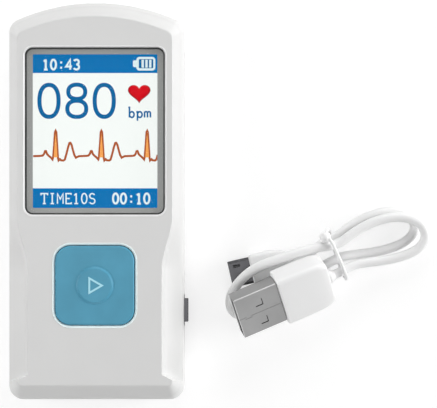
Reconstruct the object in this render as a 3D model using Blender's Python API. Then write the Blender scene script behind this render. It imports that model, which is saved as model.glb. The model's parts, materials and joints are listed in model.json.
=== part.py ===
"""Handheld ECG monitor with its bundled USB lead, as separate pieces.

Metres, +Z up. The monitor lies on its back: +X is its right side, +Y its arched top end and +Z comes out of
the display. The origin is the centre of the flat back. The lead lies beside it on the same surface.
"""

import math
from collections import namedtuple

import bmesh
import bpy
from mathutils import Matrix, Vector

# Clearances
GAP = 0.0003
FILM_GAP = 0.00015
OVERRUN = 0.0012
SCREW_CLEARANCE = 0.0003

# Front face, from the foot end to the top end
FOOT_BEVEL = 0.00455
KEY_TO_FOOT = 0.0150
KEY_SIZE = 0.0198
KEY_TO_LENS = 0.0081
LENS_HEIGHT = 0.0414
TOP_MARGIN = 0.0079
TOP_BEVEL = 0.00435

# Front face, from the middle to the side
LENS_WIDTH = 0.0346
FACE_BORDER = 0.0020
EDGE_BEVEL = 0.00305
GRIP_BEVEL = 0.00565

# Case outline
TOP_ARC_RADIUS = 0.0497
TOP_CORNER_RADIUS = 0.0036
FOOT_CORNER_RADIUS = 0.0038
FACE_CORNER_RADIUS = 0.0022
FACE_FOOT_CORNER_RADIUS = 0.0010
CASE_WALL = 0.0016
REAR_WALL = 0.00165
BACK_EDGE_WIDTH = 0.0032
BACK_EDGE_HEIGHT = 0.0042
LIP_INSET = 0.00085
LIP_HEIGHT = 0.0010
PARTING_GAP = 0.0003

# Scooped grips on both sides of the key
GRIP_FADE_ABOVE_KEY = 0.0077
GRIP_FULL_BELOW_KEY_TOP = 0.0060
GRIP_END_ABOVE_BEVEL = 0.0023
GRIP_END_FALL_SHARE = 0.42
GRIP_END_STEP = 0.0001

# Layers inside the case, from the back to the face
REAR_FLOOR = 0.0016
PAD_THICKNESS = 0.0003
BATTERY_THICKNESS = 0.0040
BATTERY_HEADROOM = 0.0004
BOARD_THICKNESS = 0.0010
FOAM_THICKNESS = 0.0007
BACKLIGHT_THICKNESS = 0.0012
PANEL_THICKNESS = 0.0013
BEZEL_SHEET = 0.00025
LEDGE_THICKNESS = 0.0008
GASKET_THICKNESS = 0.0003
LENS_THICKNESS = 0.0010
LENS_RECESS = 0.0002

# Lens, its recess and the display behind it
LENS_CORNER = 0.0017
LENS_CLEARANCE = 0.00025
LENS_LEDGE = 0.0011
WINDOW_RIB = 0.0017
OPENING_CHAMFER = 0.0003
PANEL_BORDER = 0.0006
PANEL_TAIL = 0.0027
PANEL_HEAD = 0.0001
BACKLIGHT_TAIL = 0.0033
DISPLAY_CORNER = 0.0006
FOAM_MARGIN = 0.0025
FLEX_WIDTH = 0.0100
FLEX_THICKNESS = 0.0002
CONNECTOR_LENGTH = 0.0022
CONNECTOR_HEIGHT = 0.0005

# Key
KEY_CORNER = 0.0038
KEY_CLEARANCE = 0.0003
KEY_PROUD = 0.0002
KEY_EDGE = 0.0004
KEY_WALL = 0.0012
KEY_FLANGE = 0.0012
KEY_FLANGE_THICKNESS = 0.0007
KEY_DISC_RADIUS = 0.0046
KEY_DISC_HEIGHT = 0.0003
KEY_DISC_EDGE = 0.0004
KEY_POST_RADIUS = 0.0020
SWITCH_SIZE = 0.0062
SWITCH_HEIGHT = 0.0034
SWITCH_CORNER = 0.0006
PLUNGER_RADIUS = 0.00175
PLUNGER_LENGTH = 0.0018
PLUNGER_PROUD = 0.0009
PLUNGER_WELL = 0.0016

# Micro USB port, half sunk into the edge of the board
PORT_FROM_FOOT = 0.0228
PORT_WIDTH = 0.0075
PORT_HEIGHT = 0.0025
PORT_DEPTH = 0.0053
PORT_SHEET = 0.0003
PORT_FLAP_WIDTH = 0.0059
PORT_FLAP_REACH = 0.00095
PORT_MOUTH_INSET = 0.0001
PORT_TONGUE_WIDTH = 0.0037
PORT_TONGUE_THICKNESS = 0.0006

# Board and what stands on it
BOARD_TO_WALL = 0.0007
BOARD_CORNER = 0.0010
CHIP_CORNER = 0.0003
BEEPER_RADIUS = 0.0042
BEEPER_HEIGHT = 0.0028
BEEPER_TO_WALL = 0.0040
SOUND_HOLE_RADIUS = 0.0006
SOUND_HOLE_PITCH = 0.0024
SOUND_HOLE_OFFSET = 0.0021
BATTERY_CONNECTOR_WIDTH = 0.0060
BATTERY_CONNECTOR_LENGTH = 0.0035
BATTERY_CONNECTOR_HEIGHT = 0.0024
BATTERY_CONNECTOR_X = -0.0040

# Battery
BATTERY_WIDTH = 0.0300
BATTERY_LENGTH = 0.0360
BATTERY_CORNER = 0.0016
BATTERY_ABOVE_CENTRE = 0.0010
BATTERY_TO_CONNECTOR = 0.0024
PAD_MARGIN = 0.0030
LEAD_RADIUS = 0.00045
LEAD_SPACING = 0.0016
LEAD_OFFSET = 0.0060

# Skin electrodes in the back
LOWER_ELECTRODE_WIDTH = 0.0220
LOWER_ELECTRODE_HEIGHT = 0.0110
LOWER_ELECTRODE_FROM_FOOT = 0.01755
UPPER_ELECTRODE_WIDTH = 0.0150
UPPER_ELECTRODE_HEIGHT = 0.0110
UPPER_ELECTRODE_FROM_TOP = 0.01955
UPPER_ELECTRODE_X = 0.0095
ELECTRODE_THICKNESS = 0.0005
ELECTRODE_RECESS = 0.0001
ELECTRODE_CORNER = 0.0040
ELECTRODE_STUD_RADIUS = 0.0015
ELECTRODE_STUD_RISE = 0.0006
CONTACT_WIDTH = 0.0025
CONTACT_THICKNESS = 0.0002
CONTACT_REACH = 0.0046
CONTACT_PAD = 0.0022

# Case screws and their bosses
SCREW_X_FROM_SIDE = 0.0081
SCREW_FROM_FOOT = 0.0069
SCREW_HEAD_RADIUS = 0.0019
SCREW_HEAD_HEIGHT = 0.0014
SCREW_HEAD_EDGE = 0.0004
SCREW_SHANK_RADIUS = 0.0010
SCREW_SHANK_LENGTH = 0.0085
SCREW_RECESS_DEPTH = 0.0022
SCREW_DRIVE_RADIUS = 0.0008
SCREW_DRIVE_DEPTH = 0.0007
REAR_BOSS_WALL = 0.0008
FRONT_BOSS_RADIUS = 0.0023
PILOT_EXTRA_DEPTH = 0.0006

# USB A plug of the lead
USB_A_WIDTH = 0.0120
USB_A_HEIGHT = 0.0045
USB_A_EXPOSED = 0.01175
USB_A_SHEET = 0.0003
USB_A_CORNER = 0.0005
USB_A_WINDOW = 0.0024
USB_A_WINDOW_SPACING = 0.0056
USB_A_WINDOW_FROM_TIP = 0.0062
USB_A_BASE_LENGTH = 0.0024
USB_A_TONGUE_THICKNESS = 0.0018
USB_A_TONGUE_INSET = 0.0008
USB_A_BODY_LENGTH = 0.0135
USB_A_BODY_WIDTH = 0.0138
USB_A_BODY_THICKNESS = 0.0072
USB_A_BODY_CORNER = 0.0013
USB_A_MOUTH = (0.0356, -0.0292)
USB_A_ANGLES = (-32, -7, 202.5)

# Micro B plug of the lead
MICRO_B_WIDTH = 0.00685
MICRO_B_HEIGHT = 0.0018
MICRO_B_EXPOSED = 0.0056
MICRO_B_SHEET = 0.00025
MICRO_B_TONGUE_WIDTH = 0.0042
MICRO_B_TONGUE_THICKNESS = 0.00055
MICRO_B_BODY_LENGTH = 0.0100
MICRO_B_BODY_WIDTH = 0.0080
MICRO_B_BODY_THICKNESS = 0.0050
MICRO_B_BODY_CORNER = 0.0011
MICRO_B_FACE = (0.0396, -0.0177)
MICRO_B_ANGLES = (0, 0, 193.1)

# Cord of the lead
CORD_DIAMETER = 0.0025
NECK_LENGTH = 0.0012
NECK_DIAMETER = 0.0036
NECK_END_DIAMETER = 0.0031
CORD_TO_NECK = 0.0003
CORD_POINTS = 80
TIE_CENTRE = (0.0618, -0.0136)
TIE_DIAMETER = 0.0009

# Shares of the bevel's width and of the drop from the face to the parting line, from the face outwards
edge_profile_shares = (
    (1.00, 0.000),
    (0.93, 0.015),
    (0.86, 0.055),
    (0.66, 0.190),
    (0.50, 0.305),
    (0.37, 0.400),
    (0.25, 0.480),
    (0.08, 0.660),
    (0.00, 1.000),
)
grip_profile_shares = (
    (1.000, 0.000),
    (0.965, 0.020),
    (0.930, 0.080),
    (0.830, 0.280),
    (0.640, 0.385),
    (0.400, 0.490),
    (0.135, 0.600),
    (0.050, 0.670),
    (0.000, 1.000),
)
inner_levels = (7, 6, 5, 4, 3, 0)

# Shares of the back edge's width and height, from the flat back outwards
back_profile_shares = (
    (1.00, 0.00),
    (0.62, 0.07),
    (0.33, 0.22),
    (0.12, 0.48),
    (0.02, 0.78),
    (0.00, 1.00),
)
back_inner_levels = (3, 1, 0)

# Shares of the port's half width and half height, round its mouth: the narrow side faces +Z
port_outline_shares = (
    (1.00, -1.00),
    (1.00, 0.10),
    (0.80, 1.00),
    (-0.80, 1.00),
    (-1.00, 0.10),
    (-1.00, -1.00),
)

# Shares of the overmold's length, width and thickness, from its front face to its rear
usb_a_body_shares = (
    (0.00, 0.97, 0.95),
    (0.06, 1.00, 1.00),
    (0.45, 1.00, 1.00),
    (0.80, 0.97, 0.97),
    (0.96, 0.88, 0.90),
    (1.00, 0.80, 0.82),
)
micro_b_body_shares = (
    (0.00, 0.97, 0.95),
    (0.07, 1.00, 1.00),
    (0.50, 1.00, 1.00),
    (0.82, 0.84, 0.92),
    (1.00, 0.60, 0.78),
)

# Sizes worked out from those above
case_width = LENS_WIDTH + 2 * FACE_BORDER + 2 * EDGE_BEVEL
case_length = (
    FOOT_BEVEL + KEY_TO_FOOT + KEY_SIZE + KEY_TO_LENS + LENS_HEIGHT + TOP_MARGIN + TOP_BEVEL
)
half_width = case_width / 2
foot_y = -case_length / 2
top_y = case_length / 2
key_y = foot_y + FOOT_BEVEL + KEY_TO_FOOT + KEY_SIZE / 2
lens_y = key_y + KEY_SIZE / 2 + KEY_TO_LENS + LENS_HEIGHT / 2
port_y = foot_y + PORT_FROM_FOOT

pad_z = REAR_FLOOR + FILM_GAP
battery_z = pad_z + PAD_THICKNESS + FILM_GAP
board_z = battery_z + BATTERY_THICKNESS + BATTERY_HEADROOM
board_top = board_z + BOARD_THICKNESS
foam_z = board_top + GAP
backlight_z = foam_z + FOAM_THICKNESS + GAP
panel_z = backlight_z + BACKLIGHT_THICKNESS + GAP
bezel_plate_z = panel_z + PANEL_THICKNESS + FILM_GAP
ledge_z = bezel_plate_z + BEZEL_SHEET + GAP
ledge_top = ledge_z + LEDGE_THICKNESS
gasket_z = ledge_top + FILM_GAP
lens_z = gasket_z + GASKET_THICKNESS + FILM_GAP
lens_top = lens_z + LENS_THICKNESS
face_z = lens_top + LENS_RECESS
ceiling_z = face_z - CASE_WALL
rear_edge_z = board_z
front_edge_z = rear_edge_z + PARTING_GAP
lip_top = rear_edge_z + LIP_HEIGHT
rebate_z = lip_top + PARTING_GAP
rebate_inset = LIP_INSET - PARTING_GAP
bevel_drop = face_z - front_edge_z

window_width = LENS_WIDTH - 2 * LENS_LEDGE
window_height = LENS_HEIGHT - 2 * LENS_LEDGE
panel_width = LENS_WIDTH - 2 * PANEL_BORDER
panel_low_y = lens_y - LENS_HEIGHT / 2 - PANEL_TAIL
panel_high_y = lens_y + LENS_HEIGHT / 2 + PANEL_HEAD
bezel_high_y = panel_high_y + GAP + BEZEL_SHEET

screw_hole_radius = SCREW_SHANK_RADIUS + SCREW_CLEARANCE
screw_recess_radius = SCREW_HEAD_RADIUS + SCREW_CLEARANCE
rear_boss_radius = screw_recess_radius + REAR_BOSS_WALL
screw_x = half_width - SCREW_X_FROM_SIDE
foot_screw_y = foot_y + SCREW_FROM_FOOT
top_screw_y = bezel_high_y + GAP + FRONT_BOSS_RADIUS
screw_places = (
    ("case_screw_foot_left", -screw_x, foot_screw_y),
    ("case_screw_foot_right", screw_x, foot_screw_y),
    ("case_screw_top_left", -screw_x, top_screw_y),
    ("case_screw_top_right", screw_x, top_screw_y),
)
screw_top_z = SCREW_RECESS_DEPTH - GAP + SCREW_SHANK_LENGTH

board_width = 2 * (half_width - REAR_WALL - BOARD_TO_WALL)
beeper_x = BEEPER_RADIUS + BEEPER_TO_WALL + REAR_WALL - half_width
sound_hole_x = beeper_x - SOUND_HOLE_OFFSET
board_low_y = foot_screw_y + rear_boss_radius + GAP
board_high_y = top_screw_y - rear_boss_radius - GAP
port_z = (rear_edge_z + front_edge_z) / 2
port_mouth_x = half_width - PORT_MOUTH_INSET
port_back_x = port_mouth_x - PORT_DEPTH

battery_y = BATTERY_ABOVE_CENTRE
battery_high_y = battery_y + BATTERY_LENGTH / 2
battery_connector_y = battery_high_y + BATTERY_TO_CONNECTOR + BATTERY_CONNECTOR_LENGTH / 2

lower_electrode_y = foot_y + LOWER_ELECTRODE_FROM_FOOT
upper_electrode_y = top_y - UPPER_ELECTRODE_FROM_TOP
electrode_pocket = ELECTRODE_RECESS + ELECTRODE_THICKNESS + GAP
stud_top = REAR_FLOOR + ELECTRODE_STUD_RISE
electrode_places = (
    ("lower", 0.0, lower_electrode_y, LOWER_ELECTRODE_WIDTH, LOWER_ELECTRODE_HEIGHT),
    ("left", -UPPER_ELECTRODE_X, upper_electrode_y, UPPER_ELECTRODE_WIDTH, UPPER_ELECTRODE_HEIGHT),
    ("right", UPPER_ELECTRODE_X, upper_electrode_y, UPPER_ELECTRODE_WIDTH, UPPER_ELECTRODE_HEIGHT),
)

Level = namedtuple("Level", "edge grip top foot z grip_z depth low_grip")
Chip = namedtuple("Chip", "name x y width length height material")
Lobe = namedtuple("Lobe", "heading length half_width bow start_offset end_offset first_share heights")

# Chips on the board, placed from the key's centre
chips = (
    Chip("microcontroller", -0.0105, 0.0086, 0.0070, 0.0070, 0.0010, "chip_black"),
    Chip("analog_front_end", 0.0105, 0.0086, 0.0060, 0.0060, 0.0010, "chip_black"),
    Chip("flash_memory", 0.0085, -0.0125, 0.0060, 0.0050, 0.0015, "chip_black"),
    Chip("charge_controller", -0.0095, -0.0125, 0.0040, 0.0040, 0.0009, "chip_black"),
    Chip("quartz_crystal", -0.0105, 0.0016, 0.0032, 0.0025, 0.0008, "steel"),
)

# Loops of the cord to the right of the tie: a height is a share of the loop and the cord's centre height
outer_loop = Lobe(
    14.6, 0.0234, 0.0042, 0.0009, -0.0030, 0.0024, 0.17,
    ((0.17, 0.0038), (0.25, 0.0032), (0.45, 0.0038), (0.58, 0.0044), (0.72, 0.0043), (1.00, 0.0052)),
)
inner_loop = Lobe(
    17.0, 0.0217, 0.0038, 0.0006, -0.0009, 0.0042, 0.00,
    ((0.00, 0.0026), (0.06, 0.0026), (0.20, 0.0013), (0.80, 0.0013), (0.94, 0.0026), (1.00, 0.0026)),
)

# The cord's route by hand, where it doesn't loop
from_usb_a = (
    (0.0644, -0.0168, 0.0046),
    (0.0662, -0.0162, 0.0041),
)
left_bend = (
    (0.0577, -0.0116, 0.0056),
    (0.0538, -0.0124, 0.0063),
    (0.0498, -0.0136, 0.0067),
    (0.0463, -0.0148, 0.0067),
    (0.0429, -0.0160, 0.0068),
    (0.0398, -0.0175, 0.0066),
    (0.0373, -0.0195, 0.0061),
    (0.0354, -0.0218, 0.0051),
    (0.0342, -0.0241, 0.0035),
    (0.0338, -0.0264, 0.0022),
    (0.0344, -0.0286, 0.0015),
    (0.0365, -0.0299, 0.0013),
    (0.0392, -0.0291, 0.0013),
    (0.0416, -0.0267, 0.0013),
    (0.0441, -0.0242, 0.0013),
    (0.0473, -0.0221, 0.0013),
    (0.0511, -0.0202, 0.0013),
    (0.0550, -0.0182, 0.0015),
    (0.0586, -0.0164, 0.0021),
)
to_micro_b = (
    (0.0581, -0.0107, 0.0025),
    (0.0556, -0.0124, 0.0023),
)

# The tie's route by hand, over the cords, under them and into its two twisted ends
tie_route = (
    (0.0583, -0.0098, 0.0076),
    (0.0590, -0.0095, 0.0076),
    (0.0600, -0.0106, 0.0074),
    (0.0610, -0.0127, 0.0071),
    (0.0621, -0.0151, 0.0069),
    (0.0629, -0.0172, 0.0070),
    (0.0637, -0.0192, 0.0062),
    (0.0638, -0.0199, 0.0043),
    (0.0632, -0.0187, 0.0021),
    (0.0625, -0.0168, 0.0008),
    (0.0618, -0.0147, 0.0005),
    (0.0610, -0.0122, 0.0005),
    (0.0603, -0.0100, 0.0005),
    (0.0598, -0.0082, 0.0009),
    (0.0593, -0.0073, 0.0025),
    (0.0588, -0.0078, 0.0043),
    (0.0582, -0.0085, 0.0057),
)

# Base colour, roughness and metallic value of each material
finishes = {
    "case_white": ((0.725, 0.725, 0.72), 0.42, 0.0),
    "key_blue": ((0.065, 0.32, 0.45), 0.36, 0.0),
    "lens_clear": ((0.55, 0.58, 0.62), 0.08, 0.0),
    "panel_glass": ((0.72, 0.80, 0.90), 0.15, 0.0),
    "backlight_white": ((0.85, 0.86, 0.86), 0.50, 0.0),
    "steel": ((0.55, 0.55, 0.56), 0.30, 1.0),
    "steel_dark": ((0.16, 0.16, 0.165), 0.36, 1.0),
    "electrode_steel": ((0.68, 0.68, 0.69), 0.22, 1.0),
    "foam_black": ((0.03, 0.03, 0.03), 0.90, 0.0),
    "polyimide": ((0.55, 0.27, 0.05), 0.35, 0.0),
    "board_green": ((0.02, 0.20, 0.09), 0.45, 0.0),
    "chip_black": ((0.03, 0.03, 0.03), 0.50, 0.0),
    "plastic_black": ((0.04, 0.04, 0.045), 0.45, 0.0),
    "plastic_ivory": ((0.80, 0.77, 0.68), 0.50, 0.0),
    "battery_foil": ((0.62, 0.63, 0.66), 0.35, 1.0),
    "lead_red": ((0.55, 0.03, 0.03), 0.45, 0.0),
    "lead_black": ((0.03, 0.03, 0.03), 0.45, 0.0),
    "brass": ((0.75, 0.55, 0.25), 0.30, 1.0),
    "cord_white": ((0.84, 0.84, 0.84), 0.48, 0.0),
}


def clear_scene():
    for old in list(bpy.data.objects):
        bpy.data.objects.remove(old, do_unlink=True)


def material(name):
    found = bpy.data.materials.get(name)
    if found:
        return found
    colour, roughness, metallic = finishes[name]
    made = bpy.data.materials.new(name)
    made.use_nodes = True
    shader = made.node_tree.nodes["Principled BSDF"]
    shader.inputs["Base Color"].default_value = (*colour, 1.0)
    shader.inputs["Roughness"].default_value = roughness
    shader.inputs["Metallic"].default_value = metallic
    made.diffuse_color = (*colour, 1.0)
    return made


def add_object(name, mesh_builder, finish, smooth_angle=35):
    mesh = bpy.data.meshes.new(name)
    mesh_builder.to_mesh(mesh)
    mesh_builder.free()
    mesh.materials.append(material(finish))
    mesh.shade_smooth()
    mesh.set_sharp_from_angle(angle=math.radians(smooth_angle))
    made = bpy.data.objects.new(name, mesh)
    bpy.context.scene.collection.objects.link(made)
    return made


def loft(rings, closed=False):
    """A solid through rings of equally many points, capped at both ends or joined end to end."""
    builder = bmesh.new()
    rows = [[builder.verts.new(point) for point in ring] for ring in rings]
    pairs = list(zip(rows, rows[1:]))
    if closed:
        pairs.append((rows[-1], rows[0]))
    else:
        builder.faces.new(rows[0])
        builder.faces.new(rows[-1])
    for lower, upper in pairs:
        for index, corner in enumerate(lower):
            after = (index + 1) % len(lower)
            builder.faces.new((corner, lower[after], upper[after], upper[index]))
    bmesh.ops.recalc_face_normals(builder, faces=builder.faces)
    return builder


def rounded_outline(width, height, radius, steps=4):
    """Points of a rounded rectangle about the origin, corner by corner."""
    radius = min(radius, width / 2, height / 2)
    points = []
    for corner, (side_x, side_y) in enumerate(((1, 1), (-1, 1), (-1, -1), (1, -1))):
        centre_x = side_x * (width / 2 - radius)
        centre_y = side_y * (height / 2 - radius)
        for step in range(steps + 1):
            angle = math.radians(90) * (corner + step / steps)
            points.append((centre_x + radius * math.cos(angle), centre_y + radius * math.sin(angle)))
    return points


def round_outline(radius, steps=4):
    """As many points of a circle as rounded_outline has, at matching angles."""
    count = 4 * (steps + 1)
    angles = [math.tau * (index + 0.5) / count for index in range(count)]
    return [(radius * math.cos(angle), radius * math.sin(angle)) for angle in angles]


def upright(outline, z, x=0.0, y=0.0):
    """A flat outline as a ring at one height."""
    return [Vector((x + point[0], y + point[1], z)) for point in outline]


def across(outline, x, y=0.0, z=0.0):
    """A flat outline as a ring square to the X axis."""
    return [Vector((x, y + point[0], z + point[1])) for point in outline]


def plate(name, finish, width, height, corner, low_z, high_z, x=0.0, y=0.0, steps=3):
    outline = rounded_outline(width, height, corner, steps)
    return add_object(name, loft([upright(outline, low_z, x, y), upright(outline, high_z, x, y)]), finish)


def turned(profile, x=0.0, y=0.0, steps=4):
    """A solid turned about a vertical axis, from (radius, z) pairs."""
    return loft([upright(round_outline(radius, steps), z, x, y) for radius, z in profile])


def strip(path, thickness, width):
    """A strip of sheet bent along a path of (y, z) points and centred on X."""
    half = thickness / 2
    rings = []
    for index, (along, z) in enumerate(path):
        before = Vector(path[max(index - 1, 0)])
        after = Vector(path[min(index + 1, len(path) - 1)])
        run = (after - before).normalized()
        normal = Vector((-run.y, run.x)) * half
        rings.append(
            [
                Vector((-width / 2, along - normal.x, z - normal.y)),
                Vector((width / 2, along - normal.x, z - normal.y)),
                Vector((width / 2, along + normal.x, z + normal.y)),
                Vector((-width / 2, along + normal.x, z + normal.y)),
            ]
        )
    return loft(rings)


def boolean(target, tool, operation):
    modifier = target.modifiers.new(f"{operation.lower()}_{tool.name}", "BOOLEAN")
    modifier.operation = operation
    modifier.solver = "EXACT"
    modifier.object = tool
    tool.hide_render = True
    tool.display_type = "WIRE"


def cut(target, name, builder):
    boolean(target, add_object(name, builder, "plastic_black"), "DIFFERENCE")


def unite(target, name, builder):
    boolean(target, add_object(name, builder, "plastic_black"), "UNION")


def smoothstep(share):
    share = min(max(share, 0.0), 1.0)
    return share * share * (3 - 2 * share)


def blend(low, high, share):
    return low + (high - low) * share


def spaced(low, high, count):
    return [blend(low, high, index / (count - 1)) for index in range(count)]


# Case shells


def grip_end_y(x):
    """Where the grip ends above the foot: a line that falls a little towards the side."""
    inner_end = foot_y + FOOT_BEVEL + GRIP_END_ABOVE_BEVEL
    return inner_end - GRIP_END_FALL_SHARE * (x - half_width + GRIP_BEVEL)


def side_points(level, start_y, end_y):
    """Points up one side: along the grip's lower end, up the grip, and past where it fades out."""
    full_y = key_y + KEY_SIZE / 2 - GRIP_FULL_BELOW_KEY_TOP
    fade_y = key_y + KEY_SIZE / 2 + GRIP_FADE_ABOVE_KEY
    places = [(level.low_grip, start_y)]
    for index, share in enumerate(spaced(level.low_grip, 1.0, 3)):
        x = half_width - blend(level.edge, level.grip, share)
        places.append((share, max(grip_end_y(x), start_y + GRIP_END_STEP) + index * GRIP_END_STEP))
    stations = spaced(places[-1][1], full_y, 5)[1:]
    stations += spaced(full_y, fade_y, 8)[1:]
    stations += spaced(fade_y, end_y, 5)[1:]
    places += [(smoothstep((fade_y - y) / (fade_y - full_y)), y) for y in stations]
    points = []
    for share, y in places:
        x = half_width - blend(level.edge, level.grip, share)
        points.append(Vector((x, y, blend(level.z, level.grip_z, share))))
    return points


def case_ring(level):
    """The case's outline at one level: down the middle of the foot, up the right side, over the top."""
    foot_radius = blend(FOOT_CORNER_RADIUS, FACE_FOOT_CORNER_RADIUS, level.depth)
    top_radius = blend(TOP_CORNER_RADIUS, FACE_CORNER_RADIUS, level.depth)
    side_x = half_width - level.edge
    low_side_x = half_width - blend(level.edge, level.grip, level.low_grip)
    low_y = foot_y + level.foot
    arc_centre_y = top_y - TOP_ARC_RADIUS
    arc_radius = TOP_ARC_RADIUS - level.top
    corner_x = side_x - top_radius
    corner_y = arc_centre_y + math.sqrt((arc_radius - top_radius) ** 2 - corner_x**2)
    corner_end = math.atan2(corner_y - arc_centre_y, corner_x)

    half = [Vector((0.0, low_y, level.z)), Vector((low_side_x / 2, low_y, level.z))]
    for share in spaced(0.0, 1.0, 6)[:-1]:
        angle = math.radians(90) * (share - 1)
        x = low_side_x - foot_radius + foot_radius * math.cos(angle)
        y = low_y + foot_radius + foot_radius * math.sin(angle)
        half.append(Vector((x, y, blend(level.z, level.grip_z, level.low_grip * share))))
    half += side_points(level, low_y + foot_radius, corner_y)
    for angle in spaced(0.0, corner_end, 6)[1:]:
        x = corner_x + top_radius * math.cos(angle)
        y = corner_y + top_radius * math.sin(angle)
        half.append(Vector((x, y, level.z)))
    for angle in spaced(corner_end, math.radians(90), 9)[1:]:
        x = arc_radius * math.cos(angle)
        y = arc_centre_y + arc_radius * math.sin(angle)
        half.append(Vector((x, y, level.z)))
    half[-1].x = 0.0
    mirrored = [Vector((-point.x, point.y, point.z)) for point in reversed(half[1:-1])]
    return half + mirrored


def front_level(index, inset=0.0):
    """One level of the front shell's outside, or of its inside when it is moved in by the wall.

    The inside keeps the grip's depth down to the foot, so that the wall is whole round the grip's end.
    """
    edge_share, drop_share = edge_profile_shares[index]
    grip_share_in, grip_drop_share = grip_profile_shares[index]
    return Level(
        EDGE_BEVEL * edge_share + inset,
        GRIP_BEVEL * grip_share_in + inset,
        TOP_BEVEL * edge_share + inset,
        FOOT_BEVEL * edge_share + inset,
        face_z - bevel_drop * drop_share - inset,
        face_z - bevel_drop * grip_drop_share - inset,
        edge_share,
        1.0 if inset else 0.0,
    )


def flat_level(inset, z):
    """A level with the same inset and height all round."""
    return Level(inset, inset, inset, inset, z, z, 0.0, 0.0)


def back_level(index, inset=0.0):
    width_share, height_share = back_profile_shares[index]
    across_inset = BACK_EDGE_WIDTH * width_share + inset
    z = BACK_EDGE_HEIGHT * height_share + (REAR_FLOOR if inset else 0.0)
    return Level(across_inset, across_inset, across_inset, across_inset, z, z, width_share, 0.0)


def opening_cutter(width, height, corner, clearance, low_z, x, y, steps=4):
    """A cutter for an opening in the face, with a chamfer round its mouth."""
    rings = []
    mouth = (
        (clearance, low_z),
        (clearance, face_z - OPENING_CHAMFER),
        (clearance + OPENING_CHAMFER + OVERRUN, face_z + OVERRUN),
    )
    for grow, z in mouth:
        outline = rounded_outline(width + 2 * grow, height + 2 * grow, corner + grow, steps)
        rings.append(upright(outline, z, x, y))
    return loft(rings)


def front_shell():
    outside = [case_ring(front_level(index)) for index in range(len(edge_profile_shares))]
    rebate = [case_ring(flat_level(rebate_inset, z)) for z in (front_edge_z, rebate_z)]
    wall = case_ring(front_level(inner_levels[0], CASE_WALL)._replace(z=rebate_z, grip_z=rebate_z))
    inside = [case_ring(front_level(index, CASE_WALL)) for index in inner_levels]
    shell = add_object("front_shell", loft(outside + rebate + [wall] + inside), "case_white", 30)

    rib_width = LENS_WIDTH + 2 * (LENS_CLEARANCE + WINDOW_RIB)
    rib_height = LENS_HEIGHT + 2 * (LENS_CLEARANCE + WINDOW_RIB)
    rib = rounded_outline(rib_width, rib_height, LENS_CORNER, 2)
    middle_of_wall = face_z - CASE_WALL / 2
    unite(shell, "window_rib", loft([upright(rib, z, 0.0, lens_y) for z in (ledge_z, middle_of_wall)]))
    for name, x, y in screw_places:
        boss = ((FRONT_BOSS_RADIUS, front_edge_z), (FRONT_BOSS_RADIUS, middle_of_wall))
        unite(shell, f"front_boss_{name}", turned(boss, x, y))
    for name, x, y in screw_places:
        pilot_top = screw_top_z + PILOT_EXTRA_DEPTH
        hole = ((screw_hole_radius, front_edge_z - OVERRUN), (screw_hole_radius, pilot_top))
        cut(shell, f"pilot_hole_{name}", turned(hole, x, y, 3))

    pocket = opening_cutter(LENS_WIDTH, LENS_HEIGHT, LENS_CORNER, LENS_CLEARANCE, ledge_top, 0.0, lens_y)
    cut(shell, "lens_pocket", pocket)
    window = rounded_outline(window_width, window_height, LENS_CORNER / 2)
    window_ends = (ledge_z - OVERRUN, ledge_top + OVERRUN)
    cut(shell, "window", loft([upright(window, z, 0.0, lens_y) for z in window_ends]))
    hole_low = ceiling_z - OVERRUN
    key_hole = opening_cutter(KEY_SIZE, KEY_SIZE, KEY_CORNER, KEY_CLEARANCE, hole_low, 0.0, key_y, 6)
    cut(shell, "key_hole", key_hole)
    cut(shell, "port_cut_front", port_cutter())
    return shell


def port_cutter():
    """A cutter for the port's opening, which the parting line halves."""
    width = PORT_WIDTH + 2 * GAP
    height = PORT_HEIGHT + 2 * GAP
    outline = rounded_outline(width, height, GAP, 2)
    return loft([across(outline, x, port_y, port_z) for x in (port_back_x, half_width + OVERRUN)])


def rear_shell():
    outside = [case_ring(back_level(index)) for index in range(len(back_profile_shares))]
    edge = [
        case_ring(flat_level(0.0, rear_edge_z)),
        case_ring(flat_level(LIP_INSET, rear_edge_z)),
        case_ring(flat_level(LIP_INSET, lip_top)),
        case_ring(flat_level(REAR_WALL, lip_top)),
        case_ring(flat_level(REAR_WALL, BACK_EDGE_HEIGHT + REAR_FLOOR / 2)),
    ]
    inside = [case_ring(back_level(index, REAR_WALL)) for index in back_inner_levels]
    shell = add_object("rear_shell", loft(outside + edge + inside), "case_white", 30)

    for name, x, y in screw_places:
        boss = ((rear_boss_radius, REAR_FLOOR / 2), (rear_boss_radius, rear_edge_z))
        unite(shell, f"rear_boss_{name}", turned(boss, x, y))
    for name, x, y in screw_places:
        hole = (
            (screw_recess_radius, -OVERRUN),
            (screw_recess_radius, SCREW_RECESS_DEPTH),
            (screw_hole_radius, SCREW_RECESS_DEPTH),
            (screw_hole_radius, rear_edge_z + OVERRUN),
        )
        cut(shell, f"screw_hole_{name}", turned(hole, x, y))
    for name, x, y, width, height in electrode_places:
        cut(shell, f"electrode_pocket_{name}", electrode_cutter(x, y, width, height))
    for step in (-1, 0, 1):
        y = lower_electrode_y + step * SOUND_HOLE_PITCH
        hole = ((SOUND_HOLE_RADIUS, -OVERRUN), (SOUND_HOLE_RADIUS, REAR_FLOOR + OVERRUN))
        cut(shell, f"sound_hole_{step + 2}", turned(hole, sound_hole_x, y, 2))
    cut(shell, "port_cut_rear", port_cutter())
    return shell


def electrode_cutter(x, y, width, height):
    outline = rounded_outline(width + 2 * GAP, height + 2 * GAP, ELECTRODE_CORNER + GAP)
    hole = round_outline(ELECTRODE_STUD_RADIUS + GAP)
    return loft(
        [
            upright(outline, -OVERRUN, x, y),
            upright(outline, electrode_pocket, x, y),
            upright(hole, electrode_pocket, x, y),
            upright(hole, REAR_FLOOR + OVERRUN, x, y),
        ]
    )


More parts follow.
